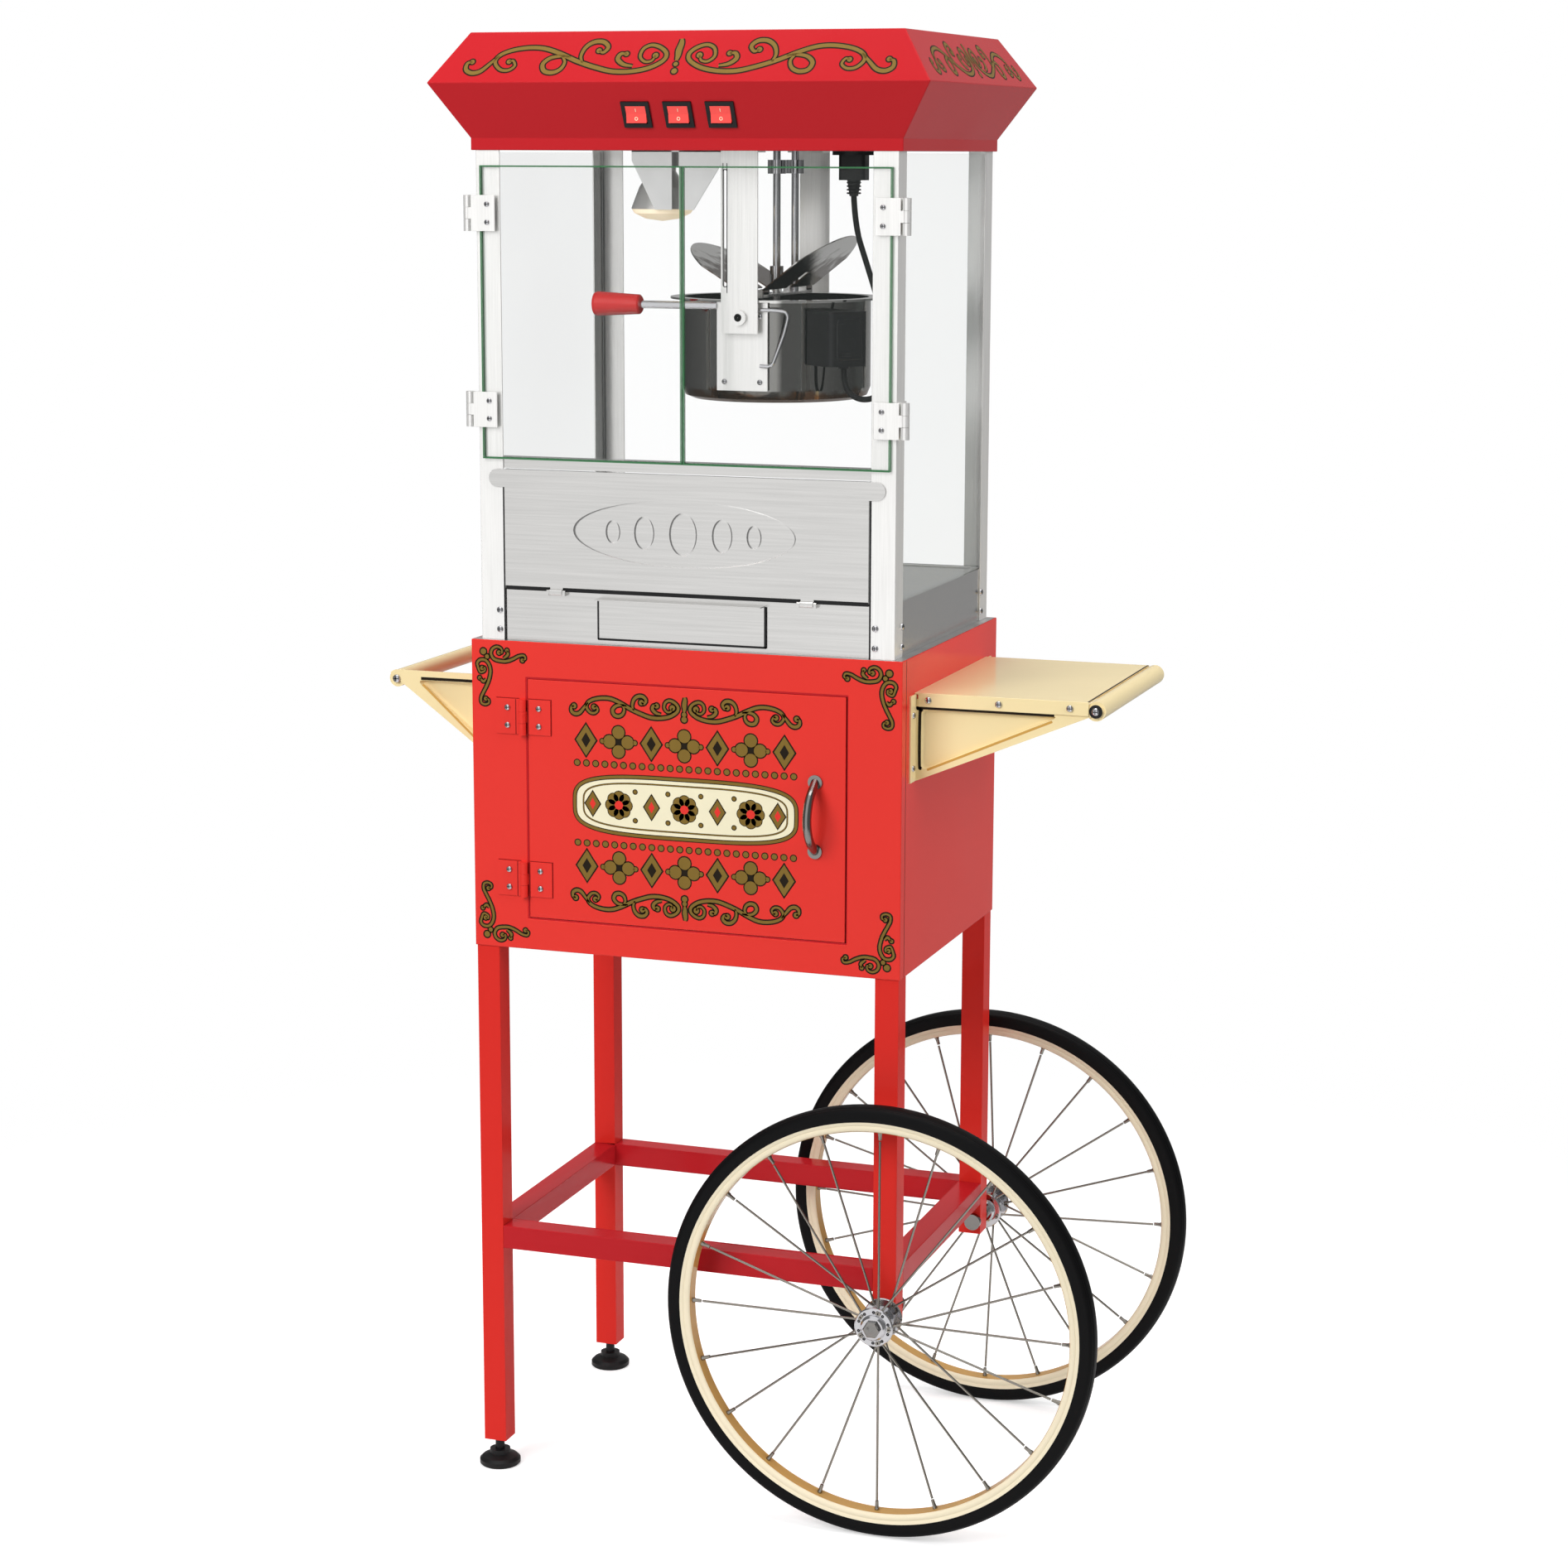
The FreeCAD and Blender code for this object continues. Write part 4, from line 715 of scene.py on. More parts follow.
rim_side = [(rim_low_r, well_half), (rim_low_r + 0.0008, 0.0094), (rim_low_r + 0.0024, 0.0102),
            (rim_low_r + 0.0060, 0.0104), (rim_low_r + 0.0064, 0.0100), (rim_low_r + 0.0070, 0.0106),
            (seat_r + 0.0006, 0.0107), (seat_r + 0.0006, 0.0088), (seat_r - 0.004, 0.0085)]
rim_section = rim_side + mirrored(rim_side)
rim_well = [(rim_low_r - 0.0003, -well_half), (rim_low_r - 0.0003, well_half), (rim_low_r + 0.0012, 0.0070),
            (rim_low_r + 0.0012, -0.0070)]
hub_side = [(0.00505, -0.022), (0.0113, -0.022), (0.0133, -0.020), (0.0133, -flange_y), (0.0195, -flange_y),
            (0.0205, -0.0165), (0.0205, -0.0155), (0.0195, -0.0145), (0.0118, -0.0145), (0.0108, -0.011)]
hub_section = [*hub_side, (0.0105, 0.0), *mirrored(hub_side)]
nut_section = [(0.0052, 0.0), (0.0092, 0.0), (0.0092, 0.0026), (0.0080, 0.0034), (0.0052, 0.0034)]
hole_section = [(0.0003, 0.0), (hole_r, 0.0), (hole_r, 0.00008), (0.0003, 0.00008)]
# The tan band on the inner wall of each rim is painted shade and reflection.
rim_well_shade = enamel("rim_well_painted_shade", "cream_enamel", "C89C5A", rough=0.12, peel=0.02)
for label, s in front_and_back:
    centre, out, body = np.array([axle_x, s * wheel_y, axle_z]), (0.0, s, 0.0), label + "_wheel"
    sections = (tyre_section(), rim_section, rim_well)
    tyre, rim, well = (lathe(section, centre, out, 192) for section in sections)
    hub = lathe(hub_section, centre, out, 64)
    nut = lathe(nut_section, centre + np.array(out) * 0.0224, out, 6)
    make_piece("rubber_tyre_" + label, [tyre], tyre_rubber, body, ["tyre_" + label])
    make_piece("painted_rim_" + label, [rim], pale_cream, body, ["rim_" + label], smooth=60.0)
    # The rim well carries that painted shade and reflection.
    make_piece("rim_well_" + label, [well], rim_well_shade, body)
    make_piece("turned_hub_" + label, [hub], chrome, body, ["hub_" + label], bevel=0.0004)
    make_piece("axle_nut_" + label, [nut], dark_chrome, "cart", smooth=20.0)
    # The holes in the hub flanges are flat black discs: painted shade.
    a = np.linspace(0, 2 * np.pi, holes, endpoint=False) + 0.3
    above_flange = np.full(holes, s * (flange_y + 0.00001))
    spots = centre + np.stack([hole_ring_r * np.cos(a), above_flange, hole_ring_r * np.sin(a)], -1)
    make_piece("hub_holes_" + label, [lathe(hole_section, spot, out, 10) for spot in spots], black, body)
print("wheels", len(front_and_back))

# %% [markdown]
# ## Spokes
# Twenty wires are hooked into the hub flanges of each wheel and screwed into nipples at the rim.
# One spoke could be modelled and copied, but neighbours lean against each other and change
# flanges. So all spokes of a wheel are one array of paths that a round section follows.

# %% Spokes
spokes_per_wheel, spoke_lean, hook_r = 20, 14.0, 0.0165
head_r, wire_r = 0.0019, 0.0012


def spoke_paths(side):
    """From a head outside a flange, through it, round an elbow and straight to the rim. Even spokes
    use one flange, odd ones the other, and pairs lean against each other."""
    k = np.arange(spokes_per_wheel)
    flange = np.where(k % 2, 1.0, -1.0)
    angle = 2 * np.pi * k / spokes_per_wheel
    foot = angle + np.radians(np.where((k // 2) % 2, spoke_lean, -spoke_lean))
    along = np.stack([np.cos(angle), 0 * angle, np.sin(angle)], -1)
    start = np.stack([np.cos(foot), 0 * foot, np.sin(foot)], -1) * hook_r
    rim_end = along * (rim_low_r - 0.0001)
    step = (rim_end - start) / np.linalg.norm(rim_end - start, axis=1, keepdims=True)
    out = flange[:, None] * [0.0, side, 0.0]
    bend = ((0.0188, 0.0), (0.0150, 0.0), (0.0136, 0.0005), (0.0129, 0.0018))
    elbow = [start + out * away + step * on for away, on in bend]
    straight = [elbow[-1] + (rim_end - elbow[-1]) * share for share in (0.1, 0.5, 0.94)]
    return np.stack(elbow + straight, 1), along


nipple_at = rim_low_r - np.array([0.0, 0.0026, 0.0041, 0.0100])
for label, s in front_and_back:
    centre = np.array([axle_x, s * wheel_y, axle_z])
    paths, along = spoke_paths(s)
    wires = tubes(centre + paths, [head_r] * 2 + [wire_r] * 5)
    nipples = tubes(centre + along[:, None, :] * nipple_at[:, None], [0.0026, 0.0026, 0.0020, 0.0018], 8)
    make_piece("wire_spokes_" + label, [wires, nipples], wire, label + "_wheel", ["spokes_" + label],
               smooth=50.0)
print("spokes", len(front_and_back) * spokes_per_wheel)

# %% [markdown]
# ## Lines and spots of ink
# Gold scrolls with a dark outline are printed on the roof and the front of the box. They could be
# an image on the paint, but drawn shapes stay sharp from any distance. A line runs smoothly through
# a few points as a band that may swell in the middle, and round spots end it. All of them are flat
# and in millimetres on their panel.

# %% Lines and spots of ink


def print_ink(name, colour, drift=0.2):
    """Flat ink, a little uneven, with little gloss, for print and for painted shade and highlights."""
    mat = new_material(name, "gold_print")
    shade(mat, {"Base Color": drifting(mat, colour, drift, 40.0), "Roughness": 0.42,
                "Specular IOR Level": 0.15})
    return mat


def smooth_line(points, per=8):
    """Catmull-Rom line: between points b and c it is half of 2b + (c - a) t + (2a - 5b + 4c - d) t^2
    + (3b - a - 3c + d) t^3."""
    p = np.asarray(points, float)
    p = np.concatenate([2 * p[:1] - p[1:2], p, 2 * p[-1:] - p[-2:-1]])
    a, b, c, d = p[:-3, None], p[1:-2, None], p[2:-1, None], p[3:, None]
    t = np.linspace(0, 1, per, endpoint=False)[None, :, None]
    line = 2 * b + (c - a) * t + (2 * a - 5 * b + 4 * c - d) * t ** 2 + (3 * b - a - 3 * c + d) * t ** 3
    return np.concatenate([0.5 * line.reshape(-1, p.shape[1]), p[-2:-1]])


def ribbon(points, width, extra=0.0):
    """Flat band along a line: the half width is width * (0.45 + 0.55 sin(pi t)) / 2 + extra."""
    line = smooth_line(points)
    run = np.gradient(line, axis=0)
    run /= np.linalg.norm(run, axis=1, keepdims=True)
    across = np.stack([-run[:, 1], run[:, 0]], -1)
    t = np.linspace(0, 1, len(line))[:, None]
    half = width * (0.45 + 0.55 * np.sin(np.pi * t)) / 2 + extra
    pts = np.stack([line + half * across, line - half * across], 1).reshape(-1, 2)
    return pts, grid_quads(len(line), 2).tolist()


def line_band(points, half):
    """Band of even width along a line."""
    return ribbon(points, 0.0, half)


def stamped(centres, outline):
    """Copies of a closed outline, one about each centre."""
    pts = np.reshape(centres, (-1, 1, 2)) + outline
    return pts.reshape(-1, 2), np.arange(pts[..., 0].size).reshape(len(pts), -1).tolist()


def discs(centres, radius, sides=16):
    """Filled round spots: centre + radius * (cos a, sin a)."""
    return stamped(centres, np.reshape(radius, (-1, 1, 1)) * unit_circle(sides))


# The dark ink prints outlines and also paints shade in gaps and in the dishes of the brackets.
gold, dark_line = print_ink("gold_print", "7F662E"), print_ink("dark_print_and_shade", "1E170C")
# The tan ink paints highlights on the brackets.
ivory, highlight_tan = print_ink("ivory_print", "F3EBCB", 0.06), print_ink("painted_highlight_tan", "CFA052", 0.1)
shade_red = print_ink("shade_print", "8A1A1A", 0.1)
print("inks", gold.name, dark_line.name, ivory.name, highlight_tan.name, shade_red.name)

# %% [markdown]
# ## Laying ink on a panel
# A print lies on the sheet with no thickness of its own. Projecting it onto the mesh would follow
# every fold, but the panels are flat. So the drawing is set on the plane of the panel, a fraction
# of a millimetre above it: once wider in the dark colour, and once in gold just over that.

# %% Laying ink on a panel
outline_extra = 1.5


def on_panel(points, plane, height):
    """Points in millimetres on a panel, put in place: origin + u * right + v * up + height * normal."""
    origin, right, up = (np.asarray(v, float) for v in plane)
    right, up = right / np.linalg.norm(right), up / np.linalg.norm(up)
    return from_mm(origin + points[:, :1] * right + points[:, 1:] * up + height * np.cross(right, up))


def front_plane(x, y, z):
    """Plane that faces the front of the cart, with its zero at a place in millimetres."""
    return (x, y, z), (1, 0, 0), (0, 0, 1)


def scroll_work(strokes, balls, width, scale=(1.0, 1.0), flips=((1, 1),), shift=(0.0, 0.0)):
    """Dark and gold layers of a set of strokes and balls, repeated with the given signs of u and v."""
    layers = ([], [])
    balls = np.array(balls)
    for flip in flips:
        k = np.array(scale) * np.array(flip)
        for layer, extra in zip(layers, (outline_extra, 0.0)):
            layer += [ribbon(np.array(stroke) * k + shift, width, extra) for stroke in strokes]
            layer.append(discs(balls[:, :2] * k + shift, balls[:, 2] + extra))
    return layers


def lay(name, parts, plane, body, finish, height):
    """Flat parts printed on a plane of a body, a given height in millimetres above it."""
    placed = [(on_panel(points, plane, height), faces) for points, faces in parts]
    make_piece(name, placed, finish, body, closed=False)


def lay_scroll(name, layers, plane, body, under=0.10, over=0.20):
    """The dark and the gold layer of some scroll work as two pieces."""
    lay(name + "_outline", layers[0], plane, body, dark_line, under)
    lay(name + "_gold", layers[1], plane, body, gold, over)


print("outline", outline_extra, "mm wider on each side")

# %% [markdown]
# ## Scrolls of the roof
# The upper slant of the roof carries a wide flourish. Only half of it is drawn, because it is
# symmetrical: a large spiral beside the middle, a long stem that dips and rises, a round loop on
# the stem, an outer spiral and a curled tail. Its mirror image makes the other half. The sides of
# the roof carry the same flourish drawn together.

# %% Roof scrolls
front_slant = ((0, -196, 1468), (1, 0, 0), (0, 31, 50))
left_and_right = (("left", -1.0), ("right", 1.0))
stem = [(23, 30), (26, 24), (33, 23), (39, 29), (37, 38), (29, 42), (19, 39), (12, 32), (14, 24), (27, 16),
        (45, 12), (65, 12), (85, 17), (105, 24), (125, 33), (143, 39), (160, 40), (178, 37), (190, 31),
        (193, 23), (186, 15), (177, 14), (171, 19), (174, 25), (178, 24)]
loop = [(113, 29), (122, 30), (134, 28), (141, 21), (138, 13), (129, 11), (121, 15), (118, 23), (122, 30)]
upper_curl = [(99, 22), (102, 30), (99, 40), (91, 46), (81, 46), (75, 40), (79, 34), (84, 36)]
small_curl = [(45, 18), (55, 20), (62, 26), (60, 32), (54, 32)]
tail = [(190, 31), (198, 22), (207, 13), (216, 11), (223, 15), (223, 22), (218, 24)]
teardrop = [(0, 24), (0.6, 30), (0.4, 36), (1.6, 44), (1.0, 49)]
half_flourish = [stem, loop, upper_curl, small_curl, tail]
half_balls = [(23, 30, 3.0), (178, 24, 2.6), (84, 36, 2.8), (54, 32, 2.6), (218, 24, 2.6)]
middle_balls = [(0, 20, 2.4), (0, 12, 3.0)]


def flourish(width, scale, flip_v=1.0, shift=(0.0, 0.0)):
    """Both halves of the roof flourish and the drop with its two beads in the middle."""
    sides = scroll_work(half_flourish, half_balls, width, scale, ((1, flip_v), (-1, flip_v)), shift)
    drop = scroll_work([teardrop], middle_balls, width * 1.4, scale, ((1, flip_v),), shift)
    return [a + b for a, b in zip(sides, drop)]


lay_scroll("roof_front_scroll", flourish(4.4, (1.0, 1.0)), front_slant, "cart")
for label, s in left_and_right:
    side_slant = ((s * 263, 0, 1468), (0, s, 0), (-s * 35, 0, 50))
    lay_scroll("roof_" + label + "_scroll", flourish(3.8, (0.68, 1.0)), side_slant, "cart")
print("strokes of half a flourish", len(half_flourish))

# %% [markdown]
# ## Scrolls of the box
# Each corner of the front has a flat and an upright scroll with two beads between them. The four
# corners could be drawn on their own, but they are mirror images. So one corner is drawn from its
# point outwards, and signs turn it into the other three.

# %% Corner scrolls
box_front = front_plane(0, -172.5, 742.5)
box_half, box_rise = 233.5, 162.5
flat_scroll = [(38, 15), (42, 15), (41, 10), (35, 8), (29, 11), (27, 17), (31, 23), (39, 25), (48, 25),
               (57, 22), (65, 18), (72, 17), (74, 21), (70, 23)]
flat_leaf = [(44, 22), (50, 17), (49, 12)]
tall_scroll = [(14.5, 35), (18, 34), (18, 38), (12, 40), (9, 34), (8, 29), (12, 25), (19, 25), (24, 30),
               (26, 38), (24, 48), (20, 57), (16, 64), (12.5, 71), (13, 77), (18, 79), (23, 77), (23, 73),
               (19, 72)]
tall_leaf = [(11, 47), (16, 51), (20, 48)]
corner_balls = [(38, 15, 2.3), (70, 23, 2.1), (49, 12, 1.9), (14.5, 35, 2.3), (19, 72, 2.1), (11, 47, 1.9),
                (16.5, 14.5, 3.2), (21.5, 20.5, 2.3)]
corner_strokes = [flat_scroll, flat_leaf, tall_scroll, tall_leaf]
corner_layers = [[], []]
for sx, sz in ((-1, -1), (-1, 1), (1, -1), (1, 1)):
    corner = np.array([sx * box_half, sz * box_rise])
    made = scroll_work(corner_strokes, corner_balls, 2.6, (0.82, 0.86), ((-sx, -sz),), corner)
    corner_layers = [a + b for a, b in zip(corner_layers, made)]
lay_scroll("box_corner_scroll", corner_layers, box_front, "cart")
print("corner strokes", 4 * len(corner_strokes))

# %% [markdown]
# ## Scrolls and beads of the door
# The door has the flourish of the roof at its top and bottom, drawn together and turned over below,
# and two rows of beads. They could be drawn again for the door, but the function of the roof takes
# a scale and a shift, so the same points serve here.

# %% Door scrolls
door_front = front_plane(2, -172.5, 740.25)
bead_u = np.linspace(-118, 118, 24)
beads = np.concatenate([np.c_[bead_u, 0 * bead_u + v] for v in (42, -42)])


def door_ornament(name, dark, above_brown_base, *heights):
    """Dark and gold figures on the door."""
    lay_scroll(name, (dark, above_brown_base), door_front, "storage_door", *heights)


for label, way in (("top", 1.0), ("low", -1.0)):
    door_ornament("door_" + label + "_scroll", *flourish(3.2, (0.555, 0.62), way, (0.0, way * 86.0)))
door_ornament("door_bead", [discs(beads, 3.9)], [discs(beads, 2.9)])
print("beads", len(beads))

# %% [markdown]
# ## Panel of the door
# Between the beads lies a cream cartouche with a gold frame, and rows of lozenges and rosettes fill
# the rest of the door. They could be drawn one by one. Every figure repeats, so it is a list of
# places and one small rule, and all figures of one ink are a single piece.

# %% Door panel
row_v = (66.0, -66.0)


def lozenges(centres, wide, tall):
    """Four-pointed figures: centre + (wide, 0), (0, tall), (-wide, 0), (0, -tall)."""
    return stamped(centres, [(wide, 0), (0, tall), (-wide, 0), (0, -tall)])


def rosettes(centres, petals, reach):
    """Petals about each centre: small discs of 0.42 * reach set out at 0.62 * reach."""
    return stamped(centres, 0.62 * reach * unit_circle(petals))[0], 0.42 * reach


def places(us, vs):
    """All combinations of the given places across and up the panel."""
    return [(u, v) for u in us for v in vs]


def oblong(t, wide, tall):
    """Rounded oblong: wide * cos t and tall * sin t, with cos t and sin t drawn out by the power 0.55."""
    wave = np.c_[np.cos(t), np.sin(t)]
    return np.sign(wave) * np.abs(wave) ** 0.55 * [wide, tall]


def door_eyes(name, figures, finish):
    """Small figures in the middle of larger ones."""
    lay(name, figures, door_front, "storage_door", finish, 0.28)


round_t = np.linspace(0, 2 * np.pi, 65)
cartouche = oblong(round_t, 121, 31)
inner = cartouche * [0.92, 0.78]
flower_at, diamond_at = places((-72.0, 0.0, 72.0), [0.0]), places((-36.0, 36.0, -101.0, 101.0), [0.0])
dot_at = places((-54.0, -18.0, 18.0, 54.0), (-15.0, 15.0))
petals, petal_r = rosettes(flower_at, 8, 14.0)
lay("door_panel_ground", [(cartouche[:-1], [list(range(64))])], door_front, "storage_door", ivory, 0.08)
panel_dark = [line_band(cartouche, 2.4), line_band(inner, 0.9), discs(petals, petal_r + 0.8),
              lozenges(diamond_at, 9.5, 14.5), discs(dot_at, 2.9)]
panel_gold = [line_band(cartouche, 1.5), line_band(inner, 0.5), discs(petals, petal_r),
              lozenges(diamond_at, 8.0, 12.5), discs(dot_at, 2.0)]
door_ornament("door_panel", panel_dark, panel_gold, 0.14, 0.22)
door_eyes("door_panel_eyes", [discs(flower_at, 4.6), lozenges(diamond_at, 3.4, 6.0)], red)

tall_at, round_at = places((-108.0, -36.0, 36.0, 108.0), row_v), places((-72.0, 0.0, 72.0), row_v)
small_at = places((-90.0, -54.0, -18.0, 18.0, 54.0, 90.0), row_v)
leaves, leaf_r = rosettes(round_at, 4, 16.0)
row_dark = [lozenges(tall_at, 13.0, 19.0), discs(leaves, leaf_r + 1.3), discs(small_at, 3.4)]
row_gold = [lozenges(tall_at, 11.0, 16.5), discs(leaves, leaf_r), discs(small_at, 2.3)]
door_ornament("door_row", row_dark, row_gold)
door_eyes("door_row_eyes", [lozenges(tall_at, 5.0, 8.0), discs(round_at, 3.4)], dark_line)
print("flowers", len(flower_at) + len(round_at))

# %% [markdown]
# ## Screws
# Small pan-head screws hold the hinges, the posts, the shelf and the handle. One screw could be
# modelled and copied, but then each copy would be a piece of its own. Here all screws of one row
# are a single piece: a dome turned at each place, with a black cross on top that paints the shade
# in its recess.

# %% Screws
door_screw_z = [646.0, 664.5, 817.3, 835.8]
pane_screw_z = [1133.0, 1151.0, 1330.5, 1348.5]
to_front = (0, -1, 0)


def spread(xs, ys, zs):
    """All combinations of the given x, y and z values."""
    return np.stack(np.meshgrid(xs, ys, zs, indexing="ij"), -1).reshape(-1, 3)


def screws(name, spots, facing, radius, body="cart"):
    """Pan heads at places in millimetres: rings of radius * (1, 1, 0.8, 0.45, 0.04) at heights of
    radius * (0, 0.3, 0.55, 0.66, 0.68), with a black cross on top as painted shade in the recess."""
    size, facing = radius / 1000, np.asarray(facing, float)
    rings = size * np.array([(1, 0), (1, 0.3), (0.8, 0.55), (0.45, 0.66), (0.04, 0.68)])
    bar = size * np.array([(0.62, 0.11), (-0.62, 0.11), (-0.62, -0.11), (0.62, -0.11)])
    u, v = square_to(facing)
    spots = from_mm(spots)
    heads = [lathe(rings, spot, facing, 14) for spot in spots]
    crosses = [(spot + 0.7 * size * facing + bar[:, :1] * a + bar[:, 1:] * b, [(0, 1, 2, 3)])
               for spot in spots for a, b in ((u, v), (v, -u))]
    make_piece(name, heads, chrome, body)
    # The black crosses are painted shade in the recesses.
    make_piece(name + "_recess", crosses, black, body, closed=False)


for label, s in front_and_back:
    out = (0, s, 0)
    screws("post_screws_" + label, spread([-203, 203], [s * 166.8], [916, 936]), out, 3.4)
    screws("shelf_screws_" + label, spread([248, 321, 394], [s * 131.0], [861]), out, 3.6)
    screws("tube_screw_" + label, spread([420], [s * 130.3], [859]), out, 4.0)
    screws("bar_screw_" + label, spread([-340], [s * 129.5], [851.5]), out, 4.4)
    screws("kettle_screws_" + label, spread([21, 59], [s * 105.0], [1172, 1238]), out, 2.8, "kettle")
for label, s in left_and_right:
    out, door = (s, 0, 0), label + "_glass_door"
    screws("post_screws_" + label, spread([s * 223.5], [-144, 142.5], [915.5, 936]), out, 3.4)
    screws("pane_screws_" + label, spread([s * 209.5], [-172.6], pane_screw_z), to_front, 2.8, door)
    screws("pane_hinge_screws_" + label, spread([s * 225.0], [-152], pane_screw_z), out, 2.8)
    screws("flange_screws_" + label, spread([s * 235.0], [-139, 139], [792, 846]), out, 3.2)
for label, x, body in (("box", -193, "cart"), ("door", -158, "storage_door")):
    screws("hinge_screws_" + label, spread([x], [-174.0], door_screw_z), to_front, 3.2, body)

# %% [markdown]
# ## Gaps and seams
# Where two sheets meet there is a fine dark line. Round the flap, the drawer, the end of the shelf
# and the slot of the hanger that line is painted shade in the gap, and the darker red lines at the
# edges of the hinge leaves are painted shadow. Such gaps could be cut into the solids, but most are
# narrower than a pixel. A flat line just above the sheet keeps them visible.

# %% Gaps and seams
leaf_low, leaf_tall, leaf_front = (636.5, 807.8), 37.5, -174.0
panel_front, box_face, hanger_face = (front_plane(0, y, 0) for y in (-166.8, -172.5, -114.0))
hinge_front, shelf_top = front_plane(0, leaf_front, 0), ((0, 0, 868), (1, 0, 0), (0, 1, 0))


def straight_lines(name, strokes, plane, body, finish):
    """Lines on a plane, each given by its two ends and half its width."""
    lay(name, [line_band((start, end), half) for start, end, half in strokes], plane, body, finish, 0.1)


def rounded(corners, radius, steps=9):
    """Polygon with round corners: on each corner an arc, as a quadratic curve from the point one
    radius before it to the point one radius after it."""
    c = np.asarray(corners, float)
    before, after = np.roll(c, 1, 0) - c, np.roll(c, -1, 0) - c
    before /= np.linalg.norm(before, axis=1, keepdims=True)
    after /= np.linalg.norm(after, axis=1, keepdims=True)
    t = np.linspace(0, 1, steps)[None, :, None]
    a, b, d = (c + radius * before)[:, None], c[:, None], (c + radius * after)[:, None]
    return ((1 - t) ** 2 * a + 2 * t * (1 - t) * b + t ** 2 * d).reshape(-1, 2)


def oblong_corners(u0, v0, u1, v1):
    """The four corners of an upright oblong."""
    return [(u0, v0), (u1, v0), (u1, v1), (u0, v1)]


# The dark line at the end of the shelf and the black lines round the flap and the drawer are painted shade in
# the gaps.
straight_lines("shelf_gap", [((412.2, -129.0), (412.2, 129.0), 1.1)], shelf_top, "cart", dark_line)
panel_gaps = [((-196.0, 959.6), (196.0, 959.6), 2.0), ((87.2, 910.4), (87.2, 952.0), 1.2),
              ((-94.0, 910.4), (-94.0, 952.0), 0.7), ((-94.0, 910.8), (88.4, 910.8), 1.0)]
panel_gaps += [((x, 905.0), (x, 1081.0), 0.9) for x in (-197.4, 197.4)]
straight_lines("panel_gaps", panel_gaps, panel_front, "cart", black)
# The black rim round the slot of the hanger is painted shade on the edges of the slot.
slot_rim = rounded(oblong_corners(22.9, 1267.5, 27.1, 1383.5), 2.0)
slot_rim = np.concatenate([slot_rim, slot_rim[:1]])
lay("hanger_slot_front", [line_band(slot_rim, 0.45)], hanger_face, "cart", black, 0.08)
for label, s in left_and_right:
    side_face = ((s * box_half, -158.5, 742.5), (0, s, 0), (0, 0, 1))
    straight_lines("box_seam_" + label, [((0.0, -162.0), (0.0, 162.0), 0.5)], side_face, "cart", dark_line)
# Darker red lines at the top and outer edges of the hinge leaves and beside the knuckles are painted shadow.
for body, x0, x1, root_x, half in (("cart", -206.0, -180.0, -183.6, 0.5),
                                   ("storage_door", -171.0, -144.0, -170.1, 0.8)):
    edges = [((x0, z + leaf_tall), (x1, z + leaf_tall), 0.5) for z in leaf_low]
    if body == "storage_door":
        edges += [((x1 - 0.5, z + leaf_tall), (x1 - 0.5, z), 0.5) for z in leaf_low]
    roots = [((root_x, z), (root_x, z + leaf_tall - 0.5), half) for z in leaf_low]
    straight_lines("hinge_edge_" + body, edges, box_face, body, shade_red)
    straight_lines("hinge_root_" + body, roots, hinge_front, body, shade_red)
print("panel gaps", len(panel_gaps))

# %% [markdown]
# ## Pressed brackets
# The cream brackets of the shelf and the handle are pressed sheet: a dished triangle with round
# corners stiffens each of them. A dark line along the upper and inner slope of the dish is painted
# shade, and a tan line along its lower slope is a painted highlight. The dish could be cut from a
# solid, but sheet has the same thickness all over. So rings run from the outline over the edge of
# the dish to its floor, and again one thickness behind.

# %% Pressed brackets
bracket_y, flange_thick, bracket_low = 129.5, 1.5, 778.0
shelf_dish = [(240.0, 852.0), (384.0, 852.0), (240.0, 787.5)]
handle_dish = [(-240.0, 851.0), (-318.0, 851.0), (-240.0, 787.5)]
brackets = ((box_half, (420.0, 859.0, 7.5), 866.5, shelf_dish, (239.0, 378.0)),
            (-box_half, (-340.0, 851.5, 9.5), 861.0, handle_dish, (-239.0, -312.0)))
tube_plug = [(0.0005, 0.0), (0.0068, 0.0), (0.0068, 0.0006), (0.0060, 0.0010), (0.0005, 0.0010)]


def block(low, high):
    """Box between two corners in millimetres."""
    ends = from_mm([low, high])
    pick = np.array([(0, 0, 0), (1, 0, 0), (1, 1, 0), (0, 1, 0), (0, 0, 1), (1, 0, 1), (1, 1, 1), (0, 1, 1)])
    faces = [(3, 2, 1, 0), (4, 5, 6, 7), (0, 1, 5, 4), (1, 2, 6, 5), (2, 3, 7, 6), (3, 0, 4, 7)]
    return ends[pick, np.arange(3)], faces


def edge_along(outline, middle, way):
    """Where rays from a middle point meet a convex outline: the least positive distance to any edge."""
    side = np.roll(outline, -1, 0) - outline
    across = way[:, None, 0] * side[None, :, 1] - way[:, None, 1] * side[None, :, 0]
    across = np.where(np.abs(across) < 1e-9, 1e-9, across)
    to_edge = outline - middle
    far = (to_edge[None, :, 0] * side[None, :, 1] - to_edge[None, :, 1] * side[None, :, 0]) / across
    return middle + way * np.where(far > 1e-6, far, np.inf).min(1)[:, None]


